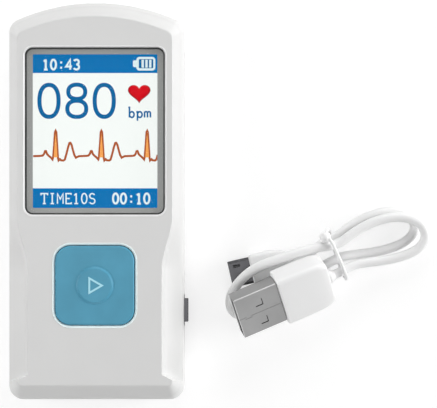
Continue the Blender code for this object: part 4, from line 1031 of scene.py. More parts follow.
def smooth_curve(points):
    """A dense smooth curve through the points, passed at times that grow with their distances."""
    ends = [points[0] * 2 - points[1]] + list(points) + [points[-1] * 2 - points[-2]]
    dense = []
    for before, low, high, after in zip(ends, ends[1:], ends[2:], ends[3:]):
        times = [0.0]
        for first, second in ((before, low), (low, high), (high, after)):
            times.append(times[-1] + math.sqrt(max((second - first).length, CORD_DIAMETER / 100)))
        for step in range(CURVE_STEPS):
            time = blend(times[1], times[2], step / CURVE_STEPS)
            dense.append(curve_point((before, low, high, after), times, time))
    dense.append(points[-1])
    return dense


def evenly(points, count):
    """The curve read again at equal steps along its length."""
    lengths = [0.0]
    for first, second in zip(points, points[1:]):
        lengths.append(lengths[-1] + (second - first).length)
    result = []
    index = 0
    for target in spaced(0.0, lengths[-1], count):
        while index < len(points) - 2 and lengths[index + 1] < target:
            index += 1
        span = max(lengths[index + 1] - lengths[index], CORD_DIAMETER / 1000)
        result.append(points[index].lerp(points[index + 1], min((target - lengths[index]) / span, 1.0)))
    return result


def relaxed(points, reach=3, rounds=2):
    """The points averaged with their neighbours, as a springy cord evens out its bends."""
    last = len(points) - 1
    for _ in range(rounds):
        eased = []
        for index in range(len(points)):
            near = min(reach, index, last - index)
            eased.append(sum(points[index - near:index + near + 1], Vector()) / (2 * near + 1))
        points = eased
    return points


def cord_ends(matrix, body_length):
    """Where a plug's cord starts, and the point one diameter further out."""
    first = body_length + NECK_LENGTH + CORD_TO_NECK
    return [matrix @ Vector((-first - extra, 0.0, 0.0)) for extra in (0.0, CORD_DIAMETER)]


def tube(name, points, diameter, resolution, node):
    curve = bpy.data.curves.new(name, "CURVE")
    curve.dimensions = "3D"
    curve.bevel_depth = diameter / 2
    curve.bevel_resolution = resolution
    curve.use_fill_caps = True
    spline = curve.splines.new("POLY")
    spline.points.add(len(points) - 1)
    for target, point in zip(spline.points, points):
        target.co = (*point, 1.0)
    curve.materials.append(materials["cord_white"])
    return dress(add_object(name, curve), node=node)


def tie_knot():
    """The two ends of the tie, twisted into a small knot."""
    first, last = Vector(tie_route[0]), Vector(tie_route[-1])
    run = (last - first).normalized()
    side = run.orthogonal().normalized()
    lift = run.cross(side)
    rings = []
    for step in range(KNOT_STEPS + 1):
        share = step / KNOT_STEPS
        place = first.lerp(last, blend(-TIE_KNOT_OVER, 1 + TIE_KNOT_OVER, share))
        swell = math.sin(math.pi * blend(TIE_KNOT_END_SHARE, 1 - TIE_KNOT_END_SHARE, share))
        ring = []
        for corner in range(KNOT_SIDES):
            angle = math.tau * corner / KNOT_SIDES
            twist = 1 + TIE_KNOT_TWIST * math.cos(2 * angle + TIE_KNOT_TURN * share)
            out = side * math.cos(angle) + lift * math.sin(angle)
            ring.append(place + out * TIE_KNOT_RADIUS * math.sqrt(swell) * twist)
        rings.append(ring)
    return piece("lead_tie_knot", loft(rings), "cord_white", angle=KNOT_SHARP_ANGLE)


usb_a_start, usb_a_straight = cord_ends(usb_a_matrix, USB_A_BODY_LENGTH)
micro_b_start, micro_b_straight = cord_ends(micro_b_matrix, MICRO_B_BODY_LENGTH)
route = [usb_a_start, usb_a_straight, *map(Vector, from_usb_a), *loop_points(outer_loop)]
route += [*map(Vector, left_bend), *loop_points(inner_loop), *map(Vector, to_micro_b)]
route += [micro_b_straight, micro_b_start]
cord_points = relaxed(evenly(smooth_curve(route), CORD_POINTS))
cord = tube("lead_cord", cord_points, CORD_DIAMETER, CORD_RESOLUTION, "usb_cable")
tie_points = evenly(smooth_curve([Vector(point) for point in tie_route]), TIE_POINTS)
tie = tube("lead_tie", tie_points, TIE_DIAMETER, TIE_RESOLUTION, "cable_tie")
knot = tie_knot()


# Lead: plugs


def plug_piece(matrix, name, builder, finish, node=None, angle=SHARP_ANGLE, even=False):
    """A piece of a plug, which is built along +X from the origin and then laid in its place."""
    bmesh.ops.transform(builder, matrix=matrix, verts=builder.verts)
    return piece(name, builder, finish, node=node, angle=angle, even=even)


def overmold(length, width, thickness, corner, body_shares):
    """A moulded grip along -X from the origin, ending in a ribbed neck round the cord."""
    rings = []
    lead_in = (-body_shares[1][0], body_shares[0][1], body_shares[0][2])
    for along, wide, thick in smooth_rows(body_shares, lead_in, 3):
        outline = rounded_outline(width * wide, thickness * thick, corner * thick)
        rings.append(across(outline, -length * along))
    neck = [(NECK_DIAMETER * groove, NECK_LENGTH * share) for share, groove in neck_shares]
    neck.append((NECK_END_DIAMETER, NECK_LENGTH + CORD_TO_NECK))
    neck.append((CORD_DIAMETER + 2 * FINE, NECK_LENGTH + NECK_LIP))
    return loft(rings + [across(round_outline(wide / 2), -length - along) for wide, along in neck])


def cut_sleeve(shell, cutters, matrix, finish, node):
    carve(shell, "DIFFERENCE", cutters)
    shell.data.transform(matrix)
    return dress_carved(shell, finish, node)


def usb_a_sleeve(tip):
    """The shell of folded sheet: rounded lips, two latch windows and the stepped seam."""
    sheet = USB_A_SHEET
    size = (USB_A_WIDTH, USB_A_HEIGHT, USB_A_CORNER)
    inner = (USB_A_WIDTH - 2 * sheet, USB_A_HEIGHT - 2 * sheet, USB_A_CORNER - sheet / 2)
    lip = (USB_A_WIDTH - sheet / 2, USB_A_HEIGHT - sheet / 2, USB_A_CORNER - sheet / 4)
    inner_lip = (USB_A_WIDTH - 1.5 * sheet, USB_A_HEIGHT - 1.5 * sheet, USB_A_CORNER - sheet / 3)
    sections = (
        (size, FILM_GAP),
        (size, tip - sheet / 2),
        (lip, tip),
        (inner_lip, tip),
        (inner, tip - sheet / 2),
        (inner, FILM_GAP),
    )
    rings = [across(rounded_outline(*section), x) for section, x in sections]
    shell = add_mesh("usb_a_sleeve", loft(rings, closed=True), "steel")
    window = rounded_outline(USB_A_WINDOW, USB_A_WINDOW, sheet / 2, steps=3)
    window_x = tip - USB_A_WINDOW_FROM_TIP
    cutters = [
        post(window, (-USB_A_HEIGHT, USB_A_HEIGHT), window_x, side * USB_A_WINDOW_SPACING / 2)
        for side in (-1, 1)
    ]
    step_x = tip - USB_A_SEAM_STEP_FROM_TIP
    seam = [(-OVERRUN, 0.0)]
    seam += [(step_x + USB_A_SEAM_STEP * along, USB_A_WINDOW * aside) for along, aside in seam_shares]
    seam.append((tip + OVERRUN, 0.0))
    top = USB_A_HEIGHT / 2
    cutters.append(ribbon(seam, USB_A_SEAM_WIDTH, top - USB_A_SEAM_DEPTH, top + OVERRUN))
    return cut_sleeve(shell, cutters, usb_a_matrix, "steel", "usb_a_shell")


def usb_a_inside(tip):
    """The black block with its four contacts."""
    inner_width = USB_A_WIDTH - 2 * (USB_A_SHEET + GAP)
    inner_height = USB_A_HEIGHT - 2 * (USB_A_SHEET + GAP)
    base = rounded_outline(inner_width, inner_height, GAP, steps=3)
    block = rounded_outline(inner_width, USB_A_TONGUE_THICKNESS, GAP, steps=3)
    block_z = (inner_height - USB_A_TONGUE_THICKNESS) / 2
    start = FILM_GAP + USB_A_BASE_LENGTH
    end = tip - USB_A_TONGUE_INSET
    rings = [
        across(base, FILM_GAP),
        across(base, start),
        across(block, start, 0.0, block_z),
        across(block, end, 0.0, block_z),
    ]
    made = [plug_piece(usb_a_matrix, "usb_a_block", loft(rings), "plastic_black", node="usb_a_tongue")]
    thickness = USB_A_CONTACT_THICKNESS
    contact = rounded_outline(USB_A_CONTACT_WIDTH, thickness, thickness / 3, steps=2)
    contact_z = block_z - USB_A_TONGUE_THICKNESS / 2 - thickness / 2
    for index, share in enumerate(USB_A_CONTACT_SHARES):
        strip = rod(contact, (start, end - GAP), share * inner_width, contact_z)
        made.append(plug_piece(usb_a_matrix, f"usb_a_contact_{index + 1}", strip, "brass"))
    return made


def usb_a_leaf(tip, side):
    """The latch spring that nearly fills a window, and leaves a dark line on two sides of it."""
    leaf_size = USB_A_WINDOW - USB_A_LEAF_GAP
    leaf = rounded_outline(leaf_size, leaf_size, USB_A_SHEET / 2, steps=3)
    middle_z = USB_A_HEIGHT / 2 - USB_A_SHEET
    ends = (middle_z - USB_A_SHEET / 2, middle_z + USB_A_SHEET / 2)
    x = tip - USB_A_WINDOW_FROM_TIP + USB_A_LEAF_GAP / 2
    y = side * USB_A_WINDOW_SPACING / 2 - USB_A_LEAF_GAP / 2
    return plug_piece(usb_a_matrix, f"usb_a_leaf_{side + 2}", post(leaf, ends, x, y), "steel")


def usb_a_plug():
    body = overmold(*usb_a_body, usb_a_body_shares)
    node = "usb_a_overmold"
    grip = plug_piece(usb_a_matrix, "usb_a_grip", body, "cord_white", node, SOFT_SHARP_ANGLE, even=True)
    tip = FILM_GAP + USB_A_EXPOSED
    sleeve = usb_a_sleeve(tip)
    return [grip, sleeve, *usb_a_inside(tip), usb_a_leaf(tip, -1), usb_a_leaf(tip, 1)]


def connector_outline(width, height, inset=0.0):
    """The outline that the port and the micro B plug share, with two slanted corners."""
    half_wide = width / 2 - inset
    half_high = height / 2 - inset
    return [(half_wide * share_y, half_high * share_z) for share_y, share_z in port_shares]


def micro_b_sleeve(tip):
    lip = MICRO_B_SHEET / 2
    sections = (
        (0.0, FILM_GAP),
        (0.0, tip - lip),
        (lip / 2, tip),
        (MICRO_B_SHEET, tip),
        (MICRO_B_SHEET, FILM_GAP),
    )
    rings = [across(connector_outline(MICRO_B_WIDTH, MICRO_B_HEIGHT, inset), x) for inset, x in sections]
    shell = add_mesh("micro_b_sleeve", loft(rings, closed=True), "steel_dark")
    slot = rounded_outline(2 * MICRO_B_HOOK, MICRO_B_HOOK, GAP / 2, steps=3)
    slot_x = tip - MICRO_B_HOOK_FROM_TIP
    slot_y = MICRO_B_WIDTH * MICRO_B_HOOK_SHARE
    cutters = [post(slot, (0.0, MICRO_B_HEIGHT), slot_x, side * slot_y) for side in (-1, 1)]
    return cut_sleeve(shell, cutters, micro_b_matrix, "steel_dark", "micro_b_shell")


def micro_b_plug():
    body = overmold(*micro_b_body, micro_b_body_shares)
    node = "micro_b_overmold"
    grip = plug_piece(micro_b_matrix, "micro_b_grip", body, "cord_white", node, SOFT_SHARP_ANGLE, even=True)
    tip = FILM_GAP + MICRO_B_EXPOSED
    sleeve = micro_b_sleeve(tip)
    thickness = MICRO_B_TONGUE_THICKNESS
    bar = rounded_outline(MICRO_B_TONGUE_WIDTH, thickness, thickness / 4, steps=3)
    strip = rod(bar, (FILM_GAP, tip - MICRO_B_SHEET))
    tongue = plug_piece(micro_b_matrix, "micro_b_bar", strip, "plastic_black", node="micro_b_tongue")
    return [grip, sleeve, tongue]


usb_a_plug() + micro_b_plug() + [tie, knot]


# Case shells


def grip_end_y(x):
    """Where the grip ends above the foot: a line that falls a little towards the side."""
    inner_end = foot_y + FOOT_BEVEL + GRIP_END_ABOVE_BEVEL
    return inner_end - GRIP_END_FALL_SHARE * (x - half_width + GRIP_BEVEL)


def side_points(level, start_y, end_y):
    """Points up one side: along the grip's lower end, up the grip, and past where it fades out."""
    full_y = key_y + KEY_SIZE / 2 - GRIP_FULL_BELOW_KEY_TOP
    fade_y = key_y + KEY_SIZE / 2 + GRIP_FADE_ABOVE_KEY
    places = [(level.low_grip, start_y)]
    for index, share in enumerate(spaced(level.low_grip, 1.0, 3)):
        x = half_width - blend(level.edge, level.grip, share)
        places.append((share, max(grip_end_y(x), start_y + GRIP_END_STEP) + index * GRIP_END_STEP))
    stations = spaced(places[-1][1], full_y, CASE_SIDE_POINTS)[1:]
    stations += spaced(full_y, fade_y, GRIP_POINTS)[1:]
    stations += spaced(fade_y, end_y, CASE_SIDE_POINTS)[1:]
    places += [(smoothstep((fade_y - y) / (fade_y - full_y)), y) for y in stations]
    points = []
    for share, y in places:
        x = half_width - blend(level.edge, level.grip, share)
        points.append(Vector((x, y, blend(level.z, level.grip_z, share))))
    return points


def arc_points(centre_x, centre_y, radius, start, end, count):
    places = []
    for angle in spaced(start, end, count):
        places.append((centre_x + radius * math.cos(angle), centre_y + radius * math.sin(angle)))
    return places


def case_ring(level):
    """The case's outline at one level, from the middle of the foot up the right side and round."""
    foot_radius = blend(FOOT_CORNER_RADIUS, FACE_FOOT_CORNER_RADIUS, level.depth)
    top_radius = blend(TOP_CORNER_RADIUS, FACE_CORNER_RADIUS, level.depth)
    low_side_x = half_width - blend(level.edge, level.grip, level.low_grip)
    low_y = foot_y + level.foot
    arc_centre_y = top_y - TOP_ARC_RADIUS
    arc_radius = TOP_ARC_RADIUS - level.top
    corner_x = half_width - level.edge - top_radius
    corner_y = arc_centre_y + math.sqrt((arc_radius - top_radius) ** 2 - corner_x**2)
    corner_end = math.atan2(corner_y - arc_centre_y, corner_x)

    half = [Vector((0.0, low_y, level.z)), Vector((low_side_x / 2, low_y, level.z))]
    foot_centre = (low_side_x - foot_radius, low_y + foot_radius)
    foot_arc = arc_points(*foot_centre, foot_radius, -math.radians(90), 0.0, CASE_CORNER_POINTS)[:-1]
    shares = spaced(0.0, 1.0, CASE_CORNER_POINTS)
    for share, place in zip(shares, foot_arc):
        half.append(Vector((*place, blend(level.z, level.grip_z, level.low_grip * share))))
    half += side_points(level, low_y + foot_radius, corner_y)
    top = arc_points(corner_x, corner_y, top_radius, 0.0, corner_end, CASE_CORNER_POINTS)[1:]
    top += arc_points(0.0, arc_centre_y, arc_radius, corner_end, math.radians(90), CASE_ARC_POINTS)[1:]
    half += [Vector((*place, level.z)) for place in top]
    half[-1].x = 0.0
    return half + [Vector((-point.x, point.y, point.z)) for point in reversed(half[1:-1])]


def front_level(row, inset=0.0):
    """One level of the front shell's outside, or of its inside when it is moved in by the wall."""
    edge, drop, grip, grip_drop = row
    return Level(
        EDGE_BEVEL * edge + inset,
        GRIP_BEVEL * grip + inset,
        TOP_BEVEL * edge + inset,
        FOOT_BEVEL * edge + inset,
        FACE_Z - rim_drop * drop - inset,
        FACE_Z - rim_drop * grip_drop - inset,
        edge,
        1.0 if inset else 0.0,
    )


def flat_level(inset, z, depth=0.0):
    return Level(inset, inset, inset, inset, z, z, depth, 0.0)


def back_level(row, inset=0.0):
    width, height = row
    z = BACK_EDGE_HEIGHT * height + (REAR_FLOOR if inset else 0.0)
    return flat_level(BACK_EDGE_WIDTH * width + inset, z, width)


def opening_cutter(size, clearance, low_z, y):
    """A cutter for an opening of the face with a rounded mouth."""
    mouth = clearance + OPENING_EDGE
    rows = [(clearance, low_z)]
    rows += [(mouth - inset, FACE_Z - drop) for inset, drop in reversed(quarter(OPENING_EDGE)[1:])]
    rows.append((mouth, FACE_Z + OVERRUN))
    return loft(stacked(size, rows, 0.0, y))


def port_cutter():
    outline = rounded_outline(PORT_WIDTH + 2 * GAP, PORT_HEIGHT + 2 * GAP, GAP, steps=4)
    return rod(outline, (port_back_x, half_width + OVERRUN), port_y, port_z)


def front_case():
    outside = [case_ring(front_level(row)) for row in smooth_rows(rim_shares, rim_lead_in)]
    rebate_z = lip_top + PARTING_GAP
    rebate = [case_ring(flat_level(LIP_INSET - PARTING_GAP, z)) for z in (front_edge_z, rebate_z)]
    levels = [front_level(rim_shares[index], CASE_WALL) for index in inner_rows]
    levels.insert(0, levels[0]._replace(z=rebate_z, grip_z=rebate_z))
    inside = [case_ring(level) for level in levels]
    shell = add_mesh("case_front", loft(outside + rebate + inside), "case_white")

    middle_z = FACE_Z - CASE_WALL / 2
    rib_size = [length + 2 * (LENS_CLEARANCE + WINDOW_RIB) for length in (LENS_WIDTH, LENS_HEIGHT)]
    rib = rounded_outline(*rib_size, LENS_CORNER, steps=4)
    added = [post(rib, (LEDGE_Z, middle_z), 0.0, lens_y)]
    for _, x, y in screw_places:
        added.append(turned(((FRONT_BOSS_RADIUS, front_edge_z), (FRONT_BOSS_RADIUS, middle_z)), x, y))
    carve(shell, "UNION", added)

    window = rounded_outline(LENS_WIDTH - 2 * LENS_LEDGE, LENS_HEIGHT - 2 * LENS_LEDGE, LENS_CORNER / 2)
    cutters = [
        opening_cutter(lens_size, LENS_CLEARANCE, LEDGE_TOP, lens_y),
        post(window, (LEDGE_Z - OVERRUN, LEDGE_TOP + OVERRUN), 0.0, lens_y),
        opening_cutter(key_size, KEY_CLEARANCE, ceiling_z - OVERRUN, key_y),
        port_cutter(),
    ]
    hole_radius = SCREW_SHANK_RADIUS + SCREW_CLEARANCE
    ends = (front_edge_z - OVERRUN, screw_top_z + PILOT_EXTRA_DEPTH)
    for _, x, y in screw_places:
        cutters.append(turned([(hole_radius, z) for z in ends], x, y))
    carve(shell, "DIFFERENCE", cutters)
    dress_carved(shell, "case_white", "front_shell", CASE_SHARP_ANGLE)


def screw_hole(x, y):
    """A cutter from the back: a rounded mouth, the recess of the head and the hole of the shank."""
    head_hole = SCREW_HEAD_RADIUS + SCREW_CLEARANCE
    mouth = head_hole + OPENING_EDGE
    profile = [(mouth, -OVERRUN)]
    profile += [(mouth - inset, drop) for inset, drop in quarter(OPENING_EDGE)[1:]]
    profile += [
        (head_hole, SCREW_RECESS_DEPTH),
        (SCREW_SHANK_RADIUS + SCREW_CLEARANCE, SCREW_RECESS_DEPTH),
        (SCREW_SHANK_RADIUS + SCREW_CLEARANCE, REAR_EDGE_Z + OVERRUN),
    ]
    return turned(profile, x, y)


def electrode_pocket(x, y, width, height):
    """A cutter for the shallow pocket of a plate and the hole of its stud."""
    floor_z = ELECTRODE_RECESS + ELECTRODE_THICKNESS + GAP
    rows = ((2 * GAP, -OVERRUN), (GAP + ELECTRODE_EDGE / 2, 0.0), (GAP, ELECTRODE_EDGE), (GAP, floor_z))
    hole_radius = ELECTRODE_STUD_RADIUS + GAP
    hole = ((hole_radius, floor_z), (hole_radius, REAR_FLOOR + OVERRUN))
    return loft(stacked((width, height, ELECTRODE_CORNER), rows, x, y) + round_rings(hole, x, y))


def rear_case():
    outside = [case_ring(back_level(row)) for row in smooth_rows(back_shares, back_lead_in)]
    edge = (
        (0.0, REAR_EDGE_Z),
        (LIP_INSET, REAR_EDGE_Z),
        (LIP_INSET, lip_top),
        (REAR_WALL, lip_top),
        (REAR_WALL, BACK_EDGE_HEIGHT + REAR_FLOOR / 2),
    )
    rings = outside + [case_ring(flat_level(inset, z)) for inset, z in edge]
    rings += [case_ring(back_level(back_shares[index], REAR_WALL)) for index in back_inner_rows]
    shell = add_mesh("case_rear", loft(rings), "case_white")

    boss_radius = SCREW_HEAD_RADIUS + SCREW_CLEARANCE + BOSS_WALL
    boss = ((boss_radius, REAR_FLOOR / 2), (boss_radius, REAR_EDGE_Z))
    carve(shell, "UNION", [turned(boss, x, y) for _, x, y in screw_places])
    sound_hole = (
        (SOUND_HOLE_RADIUS + ELECTRODE_EDGE, -OVERRUN),
        (SOUND_HOLE_RADIUS + ELECTRODE_EDGE, -FINE),
        (SOUND_HOLE_RADIUS, ELECTRODE_EDGE),
        (SOUND_HOLE_RADIUS, REAR_FLOOR + OVERRUN),
    )
    cutters = [port_cutter()]
    cutters += [screw_hole(x, y) for _, x, y in screw_places]
    cutters += [electrode_pocket(*place) for _, *place in electrode_places]
    for step in (-1, 0, 1):
        y = electrode_places[0][2] + step * SOUND_HOLE_PITCH
        cutters.append(turned(sound_hole, SOUND_HOLE_X, y))
    carve(shell, "DIFFERENCE", cutters)
    dress_carved(shell, "case_white", "rear_shell", CASE_SHARP_ANGLE)


def electrodes():
    plate_top = ELECTRODE_RECESS + ELECTRODE_THICKNESS
    stud_top = REAR_FLOOR + ELECTRODE_STUD_RISE
    stud = ((ELECTRODE_STUD_RADIUS, plate_top), (ELECTRODE_STUD_RADIUS, stud_top))
    rows = [(-inset, ELECTRODE_RECESS + drop) for inset, drop in quarter(ELECTRODE_EDGE)]
    rows.append((0.0, plate_top))
    for name, x, y, width, height in electrode_places:
        rings = stacked((width, height, ELECTRODE_CORNER), rows, x, y) + round_rings(stud, x, y)
        piece(f"{name}_plate", loft(rings), "electrode_steel", node=name, even=True)


def case_screws():
    high_z = SCREW_RECESS_DEPTH - GAP
    low_z = high_z - SCREW_HEAD_HEIGHT
    profile = [(SCREW_HEAD_RADIUS - inset, low_z + drop) for inset, drop in quarter(SCREW_HEAD_HEIGHT / 2)]
    profile += [
        (SCREW_HEAD_RADIUS, high_z),
        (SCREW_SHANK_RADIUS, high_z),
        (SCREW_SHANK_RADIUS, screw_top_z - SCREW_SHANK_RADIUS),
        (SCREW_SHANK_RADIUS / 2, screw_top_z),
    ]
    long, short = 2 * SCREW_CROSS_REACH, SCREW_CROSS_WIDTH
    for name, x, y in screw_places:
        screw = add_mesh(f"{name}_fine", turned(profile, x, y), "steel")
        cutters = []
        for size in ((long, short), (short, long)):
            bar = rounded_outline(*size, SCREW_CROSS_WIDTH / 6, steps=2)
            tip = [(point[0] / 2, point[1] / 2) for point in bar]
            sections = ((bar, low_z - OVERRUN), (bar, low_z), (tip, low_z + SCREW_CROSS_DEPTH))
            cutters.append(loft([upright(outline, z, x, y) for outline, z in sections]))
        carve(screw, "DIFFERENCE", cutters)
        dress_carved(screw, "steel", name)


front_case()
rear_case()
electrodes()
case_screws()


# Lens and the picture behind it


def painted_highlight_rim(name, finish, size, y, gap, width):
    """A painted highlight: a pale ring that lines an opening of the face and slopes down into it, lighter
    than the case, for the light on the opening's rounded edge.
    """
    outside = gap + width
    steps = (
        (outside, -FINE),
        (outside, RIM_PROUD),
        (outside - RIM_PROUD, 2 * RIM_PROUD),
        (outside - width / 3, 2 * RIM_PROUD),
        (gap + width / 6, -width / 3),
        (gap, -width),
        (gap, -2 * width),
        (gap + RIM_PROUD, -2 * width),
        (gap + RIM_PROUD, -width),
    )
    rings = stacked(size, [(grow, FACE_Z + rise) for grow, rise in steps], 0.0, y)
    return piece(
        name, loft(rings, closed=True), finish, angle=SOFT_SHARP_ANGLE, even=True
    )


def lens():
    rows = [(-inset, LENS_TOP - drop) for inset, drop in quarter(LENS_EDGE)] + [(0.0, LENS_Z)]
    cover = loft(stacked(lens_size, rows, 0.0, lens_y))
    piece("lens_cover", cover, "lens_clear", node="display_lens", even=True)

    low_z = (GASKET_TOP + LENS_Z - PRINT_THICKNESS) / 2
    print_ends = (low_z, low_z + PRINT_THICKNESS)
    whole = rounded_outline(*lens_size)
    line = grown(lens_size, -EDGE_SHADE_WIDTH)
    inner = rounded_outline(PRINT_WIDTH, PRINT_HEIGHT, PRINT_CORNER)
    # The dark band at the lens's edge and the black foam that fills the gap round the lens are painted shade
    # of that gap
    gap_shade = (grown(lens_size, GAP_SHADE_WIDTH), grown(lens_size, FINE))
    frames = (
        ("lens_print", "print_grey", line, inner, print_ends),
        ("lens_edge_painted_shade", "painted_edge_shade", whole, line, print_ends),
        ("lens_seal", "foam_black", *gap_shade, (LEDGE_TOP + FINE, GAP_SHADE_TOP)),
    )
    for name, finish, outside, inside, (low, high) in frames:
        sections = ((outside, low), (outside, high), (inside, high), (inside, low))
        rings = [upright(outline, z, 0.0, lens_y) for outline, z in sections]
        piece(name, loft(rings, closed=True), finish)
    # Painted highlight round the window: a pale rim for the light on the opening's edge
    painted_highlight_rim("window_rim_painted_highlight", "rim_painted_highlight", lens_size, lens_y, LENS_CLEARANCE - FINE, WINDOW_RIM_WIDTH)


def on_picture(along, down):
    """A place on the display, from its dots counted from the top left corner."""
    x = PICTURE_CENTRE[0] + PICTURE_WIDTH * (along / DOTS_ACROSS - 0.5)
    y = PICTURE_CENTRE[1] + PICTURE_HEIGHT * (0.5 - down / DOTS_DOWN)
    return (x, y)


def layer(index):
    """Low and high face of one layer of the picture."""
    low = PANEL_TOP + FINE + index * PICTURE_LAYER
    return low, low + PICTURE_LAYER


def picture_piece(name, finish, builders):
    made = add_mesh(name, builders[0], finish)
    if len(builders) > 1:
        carve(made, "UNION", builders[1:])
    return dress(shade(repaint(made, finish)))


def box_patch(left, top, right, bottom, corner, index):
    """A rounded box on a layer of the picture, between two corners given in dots."""
    low = on_picture(left, bottom)
    high = on_picture(right, top)
    outline = rounded_outline(high[0] - low[0], high[1] - low[1], max(corner, least_corner) * dot, steps=4)
    return post(outline, layer(index), (low[0] + high[0]) / 2, (low[1] + high[1]) / 2)


def written(text, left, base, pitch, unit, weight, index):
    """Builders for the lines of a text on the picture, all sizes in dots."""
    builders = []
    for place, letter in enumerate(text):
        lines = [(line, False) for line in letter_lines.get(letter, ())]
        if letter in letter_rings:
            lines.append((bow(*letter_rings[letter], 0, 360)[:-1], True))
        for line, closed in lines:
            points = [on_picture(left + place * pitch + x * unit, base - y * unit) for x, y in line]
            builders.append(ribbon(points, weight * dot, *layer(index), closed))
    return builders


def heart_patch(centre_along, centre_down, half_size, index):
    """A heart, by the usual sum of cosines."""
    points = []
    for angle in spaced(0.0, math.tau, HEART_POINTS + 1)[:-1]:
        along = math.sin(angle) ** 3
        up = 13 * math.cos(angle) - 5 * math.cos(2 * angle) - 2 * math.cos(3 * angle) - math.cos(4 * angle)
        down = centre_down - half_size * heart_height_share * up / 16
        points.append(on_picture(centre_along + half_size * along, down))
    return post(points, layer(index))


def figure_ring(centre_along, centre_down, half_wide, half_high, weight):
    line = []
    for x, y in bow(0.0, 0.0, 1.0, 1.0, 0, 360, DIGIT_POINTS)[:-1]:
        along = half_wide * math.copysign(abs(x) ** DIGIT_SQUARENESS, x)
        down = half_high * math.copysign(abs(y) ** DIGIT_SQUARENESS, y)
        line.append(on_picture(centre_along + along, centre_down + down))
    return ribbon(line, weight * dot, *layer(1), closed=True)


def picture():
    edge = PICTURE_MARGIN / dot
    left, top, right, bottom = -edge, -edge, DOTS_ACROSS + edge, DOTS_DOWN + edge
    parts = (
        ("field", "white", [box_patch(left, top, right, bottom, 0.0, 0)]),
        ("top_bar", "blue", [box_patch(left, top, right, top_bar_bottom, 0.0, 1)]),
        ("low_bar", "blue", [box_patch(left, low_bar_top, right, bottom, 0.0, 1)]),
        ("rate", "digits", [figure_ring(*ring) for ring in rate_rings]),
        ("unit", "digits", written("bpm", *unit_text)),
        ("heart", "dark_red", [heart_patch(*heart_place, 1)]),
        ("heart_inside", "red", [heart_patch(*heart_inside_place, 2)]),
        ("clock", "letters", written("10:43", *clock_text)),
        ("words", "letters", written("TIME10S", *words_text)),
        ("timer", "letters", written("00:10", *timer_text)),
        ("battery", "letters", [box_patch(*battery_box, 2), box_patch(*battery_tip_box, 2)]),
        ("battery_inside", "digits", [box_patch(*battery_inside_box, 3)]),
    )
    for name, finish, builders in parts:
        picture_piece(f"picture_{name}", f"picture_{finish}", builders)
    left, top, right, bottom, corner = battery_bar_box
    for index in range(3):
        shift = index * battery_bar_pitch
        bar = box_patch(left + shift, top, right + shift, bottom, corner, 4)
        picture_piece(f"picture_battery_bar_{index + 1}", "picture_letters", [bar])


def trace():
    points = []
    for number in range(-1, 3):
        for along, up in beat:
            place = first_peak + number * beat_period + along
            if -trace_overrun <= place <= DOTS_ACROSS + trace_overrun:
                points.append(on_picture(place, base_line - up))
    picture_piece("picture_trace", "picture_trace", [ribbon(points, trace_weight * dot, *layer(1))])
    for number in range(3):
        place = first_peak + number * beat_period
        outline = [on_picture(place + along, base_line - up) for along, up in peak_inside]
        picture_piece(f"picture_peak_{number + 1}", "picture_trace_inside", [post(outline, layer(2))])


lens()
picture()
trace()


# Key


def key():
    flange_top = ceiling_z - GAP
    flange_low = flange_top - KEY_FLANGE_THICKNESS
    under_top = key_top - KEY_WALL
    rows = [
        (-KEY_WALL, under_top),
        (-KEY_WALL, flange_low),
        (KEY_FLANGE, flange_low),
        (KEY_FLANGE, flange_top),
        (0.0, flange_top),
    ]
    rows += [(-inset, key_top - drop) for inset, drop in reversed(quarter(KEY_EDGE))]
    disc = []
    for share in spaced(0.0, 1.0, DISC_POINTS):
        dip = KEY_DISC_DIP * math.sin(math.pi * share) ** 2 * (1 - share)
        radius = KEY_DISC_RADIUS + KEY_DISC_EDGE / 2 - KEY_DISC_EDGE * share
        disc.append((radius, key_top + KEY_DISC_HEIGHT * smoothstep(share) - dip))
    inside = ((KEY_POST_RADIUS, KEY_POST_TOP), (KEY_POST_RADIUS, under_top))
    rings = round_rings(inside, 0.0, key_y) + stacked(key_size, rows, 0.0, key_y)
    rings += round_rings(disc, 0.0, key_y)
    piece("key_cap", loft(rings), "key_blue", node="keycap", body="key", even=True)
    # Painted highlight round the key, tinted with a painted reflection of the blue key
    painted_highlight_rim("key_ring_painted_highlight", "ring_painted_highlight_and_reflection", key_size, key_y, KEY_RING_GAP, KEY_RING_WIDTH)

    sign_z = key_top + KEY_DISC_HEIGHT
    angles = (0.0, math.tau / 3, 2 * math.tau / 3)
    corners = [
        (SIGN_RADIUS * math.cos(angle) - SIGN_RADIUS / 8, key_y + SIGN_RADIUS * math.sin(angle))
        for angle in angles
    ]
    sign = ribbon(corners, SIGN_LINE, sign_z, sign_z + SIGN_DEPTH, closed=True)
    piece("key_sign", sign, "sign_blue", body="key")


key()


# Port


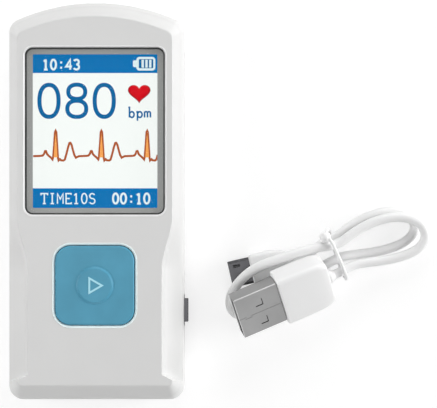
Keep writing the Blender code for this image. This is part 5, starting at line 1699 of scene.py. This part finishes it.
def port():
    sections = (
        (0.0, port_back_x),
        (0.0, port_mouth_x),
        (PORT_SHEET, port_mouth_x),
        (PORT_SHEET, port_back_x + PORT_SHEET),
    )
    rings = []
    for inset, x in sections:
        rings.append(across(connector_outline(PORT_WIDTH, PORT_HEIGHT, inset), x, port_y, port_z))
    shell = add_mesh("port_sleeve", loft(rings), "steel_dark")
    reach = half_width + PORT_FLAP_REACH
    ends = ((port_mouth_x - PORT_SHEET, 0.0), (reach - PORT_SHEET / 2, 0.0), (reach, PORT_SHEET / 2))
    flaps = []
    for side in (-1, 1):
        z = port_z + side * (PORT_HEIGHT - PORT_SHEET) / 2
        outlines = []
        for x, shrink in ends:
            flap = rounded_outline(PORT_FLAP_WIDTH - shrink, PORT_SHEET - shrink / 2, PORT_SHEET / 3, steps=3)
            outlines.append(across(flap, x, port_y, z))
        flaps.append(loft(outlines))
    carve(shell, "UNION", flaps)
    dress_carved(shell, "steel_dark", "usb_port_shell")

    tongue = rounded_outline(PORT_TONGUE_WIDTH, PORT_TONGUE_THICKNESS, PORT_TONGUE_THICKNESS / 4, steps=3)
    start = port_back_x + PORT_SHEET + FILM_GAP
    end = port_mouth_x - PORT_SHEET
    bar = rod(tongue, (start, end), port_y, port_z)
    piece("port_bar", bar, "plastic_black", node="usb_port_tongue")
    contact = rounded_outline(CONTACT_LINE, PORT_SHEET / 4, PORT_SHEET / 16, steps=2)
    contact_z = port_z - PORT_TONGUE_THICKNESS / 2 - PORT_SHEET / 8
    for index in range(5):
        strip = rod(contact, (start, end - PORT_SHEET), port_y + (index - 2) * CONTACT_PITCH, contact_z)
        piece(f"port_contact_{index + 1}", strip, "brass")


port()


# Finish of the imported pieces


def finish_packed():
    slots = {entry["node"]: entry["material_slot"] for entry in frame["record"]["subparts"]}
    for name, made in frame["nodes"].items():
        made.data.materials.clear()
        made.data.materials.append(materials[slots[name]])


finish_packed()


# Floor, lamps and world


def seen_share(tree):
    """1 for the rays that see the backdrop, 0 for those that light things."""
    path = add_node(tree, "LightPath", {})
    total = path.outputs["Is Camera Ray"]
    for kind in ("Is Glossy Ray", "Is Transmission Ray"):
        total = add_math(tree, "MAXIMUM", total, path.outputs[kind])
    return total


def floor():
    half = FLOOR_SIZE / 2
    corners = [(-half, -half, 0.0), (half, -half, 0.0), (half, half, 0.0), (-half, half, 0.0)]
    mesh = bpy.data.meshes.new("floor")
    mesh.from_pydata(corners, [], [(0, 1, 2, 3)])
    finish, tree, shader = new_material("floor_white")
    seen = seen_share(tree)
    set_inputs(tree, shader, {
        "Base Color": map_range(tree, seen, FLOOR_ALBEDO, FLOOR_SEEN_ALBEDO),
        "Roughness": FLOOR_ROUGHNESS,
        "Specular IOR Level": 0.0,
        "Emission Color": (1.0, 1.0, 1.0, 1.0),
        "Emission Strength": add_math(tree, "MULTIPLY", seen, FLOOR_LIFT),
    })
    mesh.materials.append(finish)
    add_object("floor", mesh)


def light():
    for name, place, size, power in lamps:
        data = bpy.data.lights.new(name, "AREA")
        data.size = size
        data.energy = power
        made = add_object(name, data)
        made.location = place
        made.rotation_euler = (Vector(LAMP_AIM) - Vector(place)).to_track_quat("-Z", "Y").to_euler()
    world = bpy.data.worlds.new("studio")
    world.use_nodes = True
    bpy.context.scene.world = world
    tree = world.node_tree
    set_inputs(tree, tree.nodes["Background"], {
        "Color": (1.0, 1.0, 1.0, 1.0),
        "Strength": map_range(tree, seen_share(tree), WORLD_AMBIENT, 1.0),
    })
    bpy.context.scene.view_settings.view_transform = "Standard"


floor()
light()
